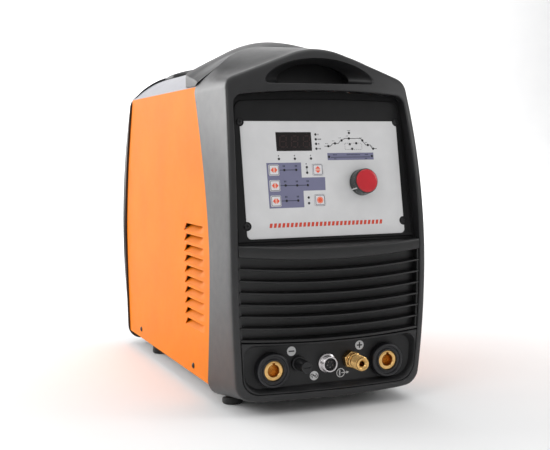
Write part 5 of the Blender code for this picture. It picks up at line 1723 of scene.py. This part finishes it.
def camera():
    data = bpy.data.cameras.new("camera")
    data.lens, data.sensor_width, data.sensor_fit = LENS, SENSOR, "HORIZONTAL"
    data.clip_start, data.clip_end = 0.05, 60
    made = bpy.data.objects.new("camera", data)
    ahead = Vector((math.sin(YAW) * math.cos(PITCH), math.cos(YAW) * math.cos(PITCH), -math.sin(PITCH)))
    right = Vector((math.cos(YAW), -math.sin(YAW), 0))
    up = right.cross(ahead)
    tilted = math.cos(ROLL) * right + math.sin(ROLL) * up
    upright = math.cos(ROLL) * up - math.sin(ROLL) * right
    turned = Matrix((tilted, upright, -ahead)).transposed().to_4x4()
    made.matrix_world = Matrix.Translation(CAMERA_AT) @ turned
    bpy.context.scene.collection.objects.link(made)
    bpy.context.scene.camera = made


def area_light(name, at, aim, size, power):
    data = bpy.data.lights.new(name, "AREA")
    data.shape, data.size, data.size_y, data.energy = "RECTANGLE", size[0], size[1], power
    made = bpy.data.objects.new(name, data)
    made.location = at
    made.rotation_euler = (Vector(aim) - Vector(at)).to_track_quat("-Z", "Y").to_euler()
    bpy.context.scene.collection.objects.link(made)


SWEEP_REACH, SWEEP_BEND, SWEEP_HIGH, FLOOR_REACH, WORLD_LIGHT = 6.0, 1.2, 9.0, 40.0, 0.55


def sweep():
    """A floor that curves up into a backdrop, of pale paper."""
    work = bmesh.new()
    bend = arc(SWEEP_REACH - SWEEP_BEND, SWEEP_BEND, SWEEP_BEND, -90, 0, 12)
    profile = [(-FLOOR_REACH, 0.0), *bend, (SWEEP_REACH, SWEEP_HIGH)]
    rows = [[work.verts.new((x, y, z)) for x in (-FLOOR_REACH, FLOOR_REACH)] for y, z in profile]
    for first, second in zip(rows, rows[1:]):
        work.faces.new((first[0], first[1], second[1], second[0]))
    look = Look("studio_paper", 0.9, 0.0, 0.1)
    look.colour(look.ramp(look.noise(3, 3), (0.3, (0.9, 0.9, 0.905)), (0.7, (0.93, 0.93, 0.93))))
    mesh = mesh_from(work, "studio_sweep")
    mesh.materials.append(look.material)
    mesh.shade_smooth()
    floor = bpy.data.objects.new("studio_sweep", mesh)
    bpy.context.scene.collection.objects.link(floor)


def studio():
    sweep()
    world = bpy.data.worlds.new("studio")
    world.use_nodes = True
    backdrop = world.node_tree.nodes["Background"]
    backdrop.inputs["Color"].default_value = (1.0, 1.0, 1.0, 1.0)
    backdrop.inputs["Strength"].default_value = WORLD_LIGHT
    bpy.context.scene.world = world
    area_light("side_softbox", (-2.1, 2.3, 1.2), (0, 0, 0.2), (2.4, 1.7), 78)
    area_light("key_softbox", (-2.4, -1.6, 1.9), (0, 0, 0.2), (1.6, 1.6), 15)
    area_light("top_softbox", (0.3, 0.3, 2.6), (0, 0, 0), (2.4, 2.4), 26)
    area_light("right_softbox", (2.3, -1.5, 1.3), (0, 0, 0.3), (0.9, 0.9), 11)
    area_light("backdrop_light", (1.6, 3.4, 3.2), (1.2, 5.5, 0.8), (3.0, 1.5), 160)
    bpy.context.scene.view_settings.view_transform = "Standard"


def main():
    camera()
    studio()
    bezels()
    side_panels()
    panel_screws()
    roof_cover()
    handle()
    feet()
    control_fascia()
    label_plate()
    label_print()
    display()
    keys()
    knob()
    front_grille()
    connector_panel()
    connector_marks()
    sockets()
    torch_connector()
    gas_outlet()
    fuse()
    rear_panel()
    rating_plate()
    rear_screws()
    fan_frame()
    fan_rotor()
    power_switch()
    gas_inlet()
    cable_gland()
    carry_over()


main()
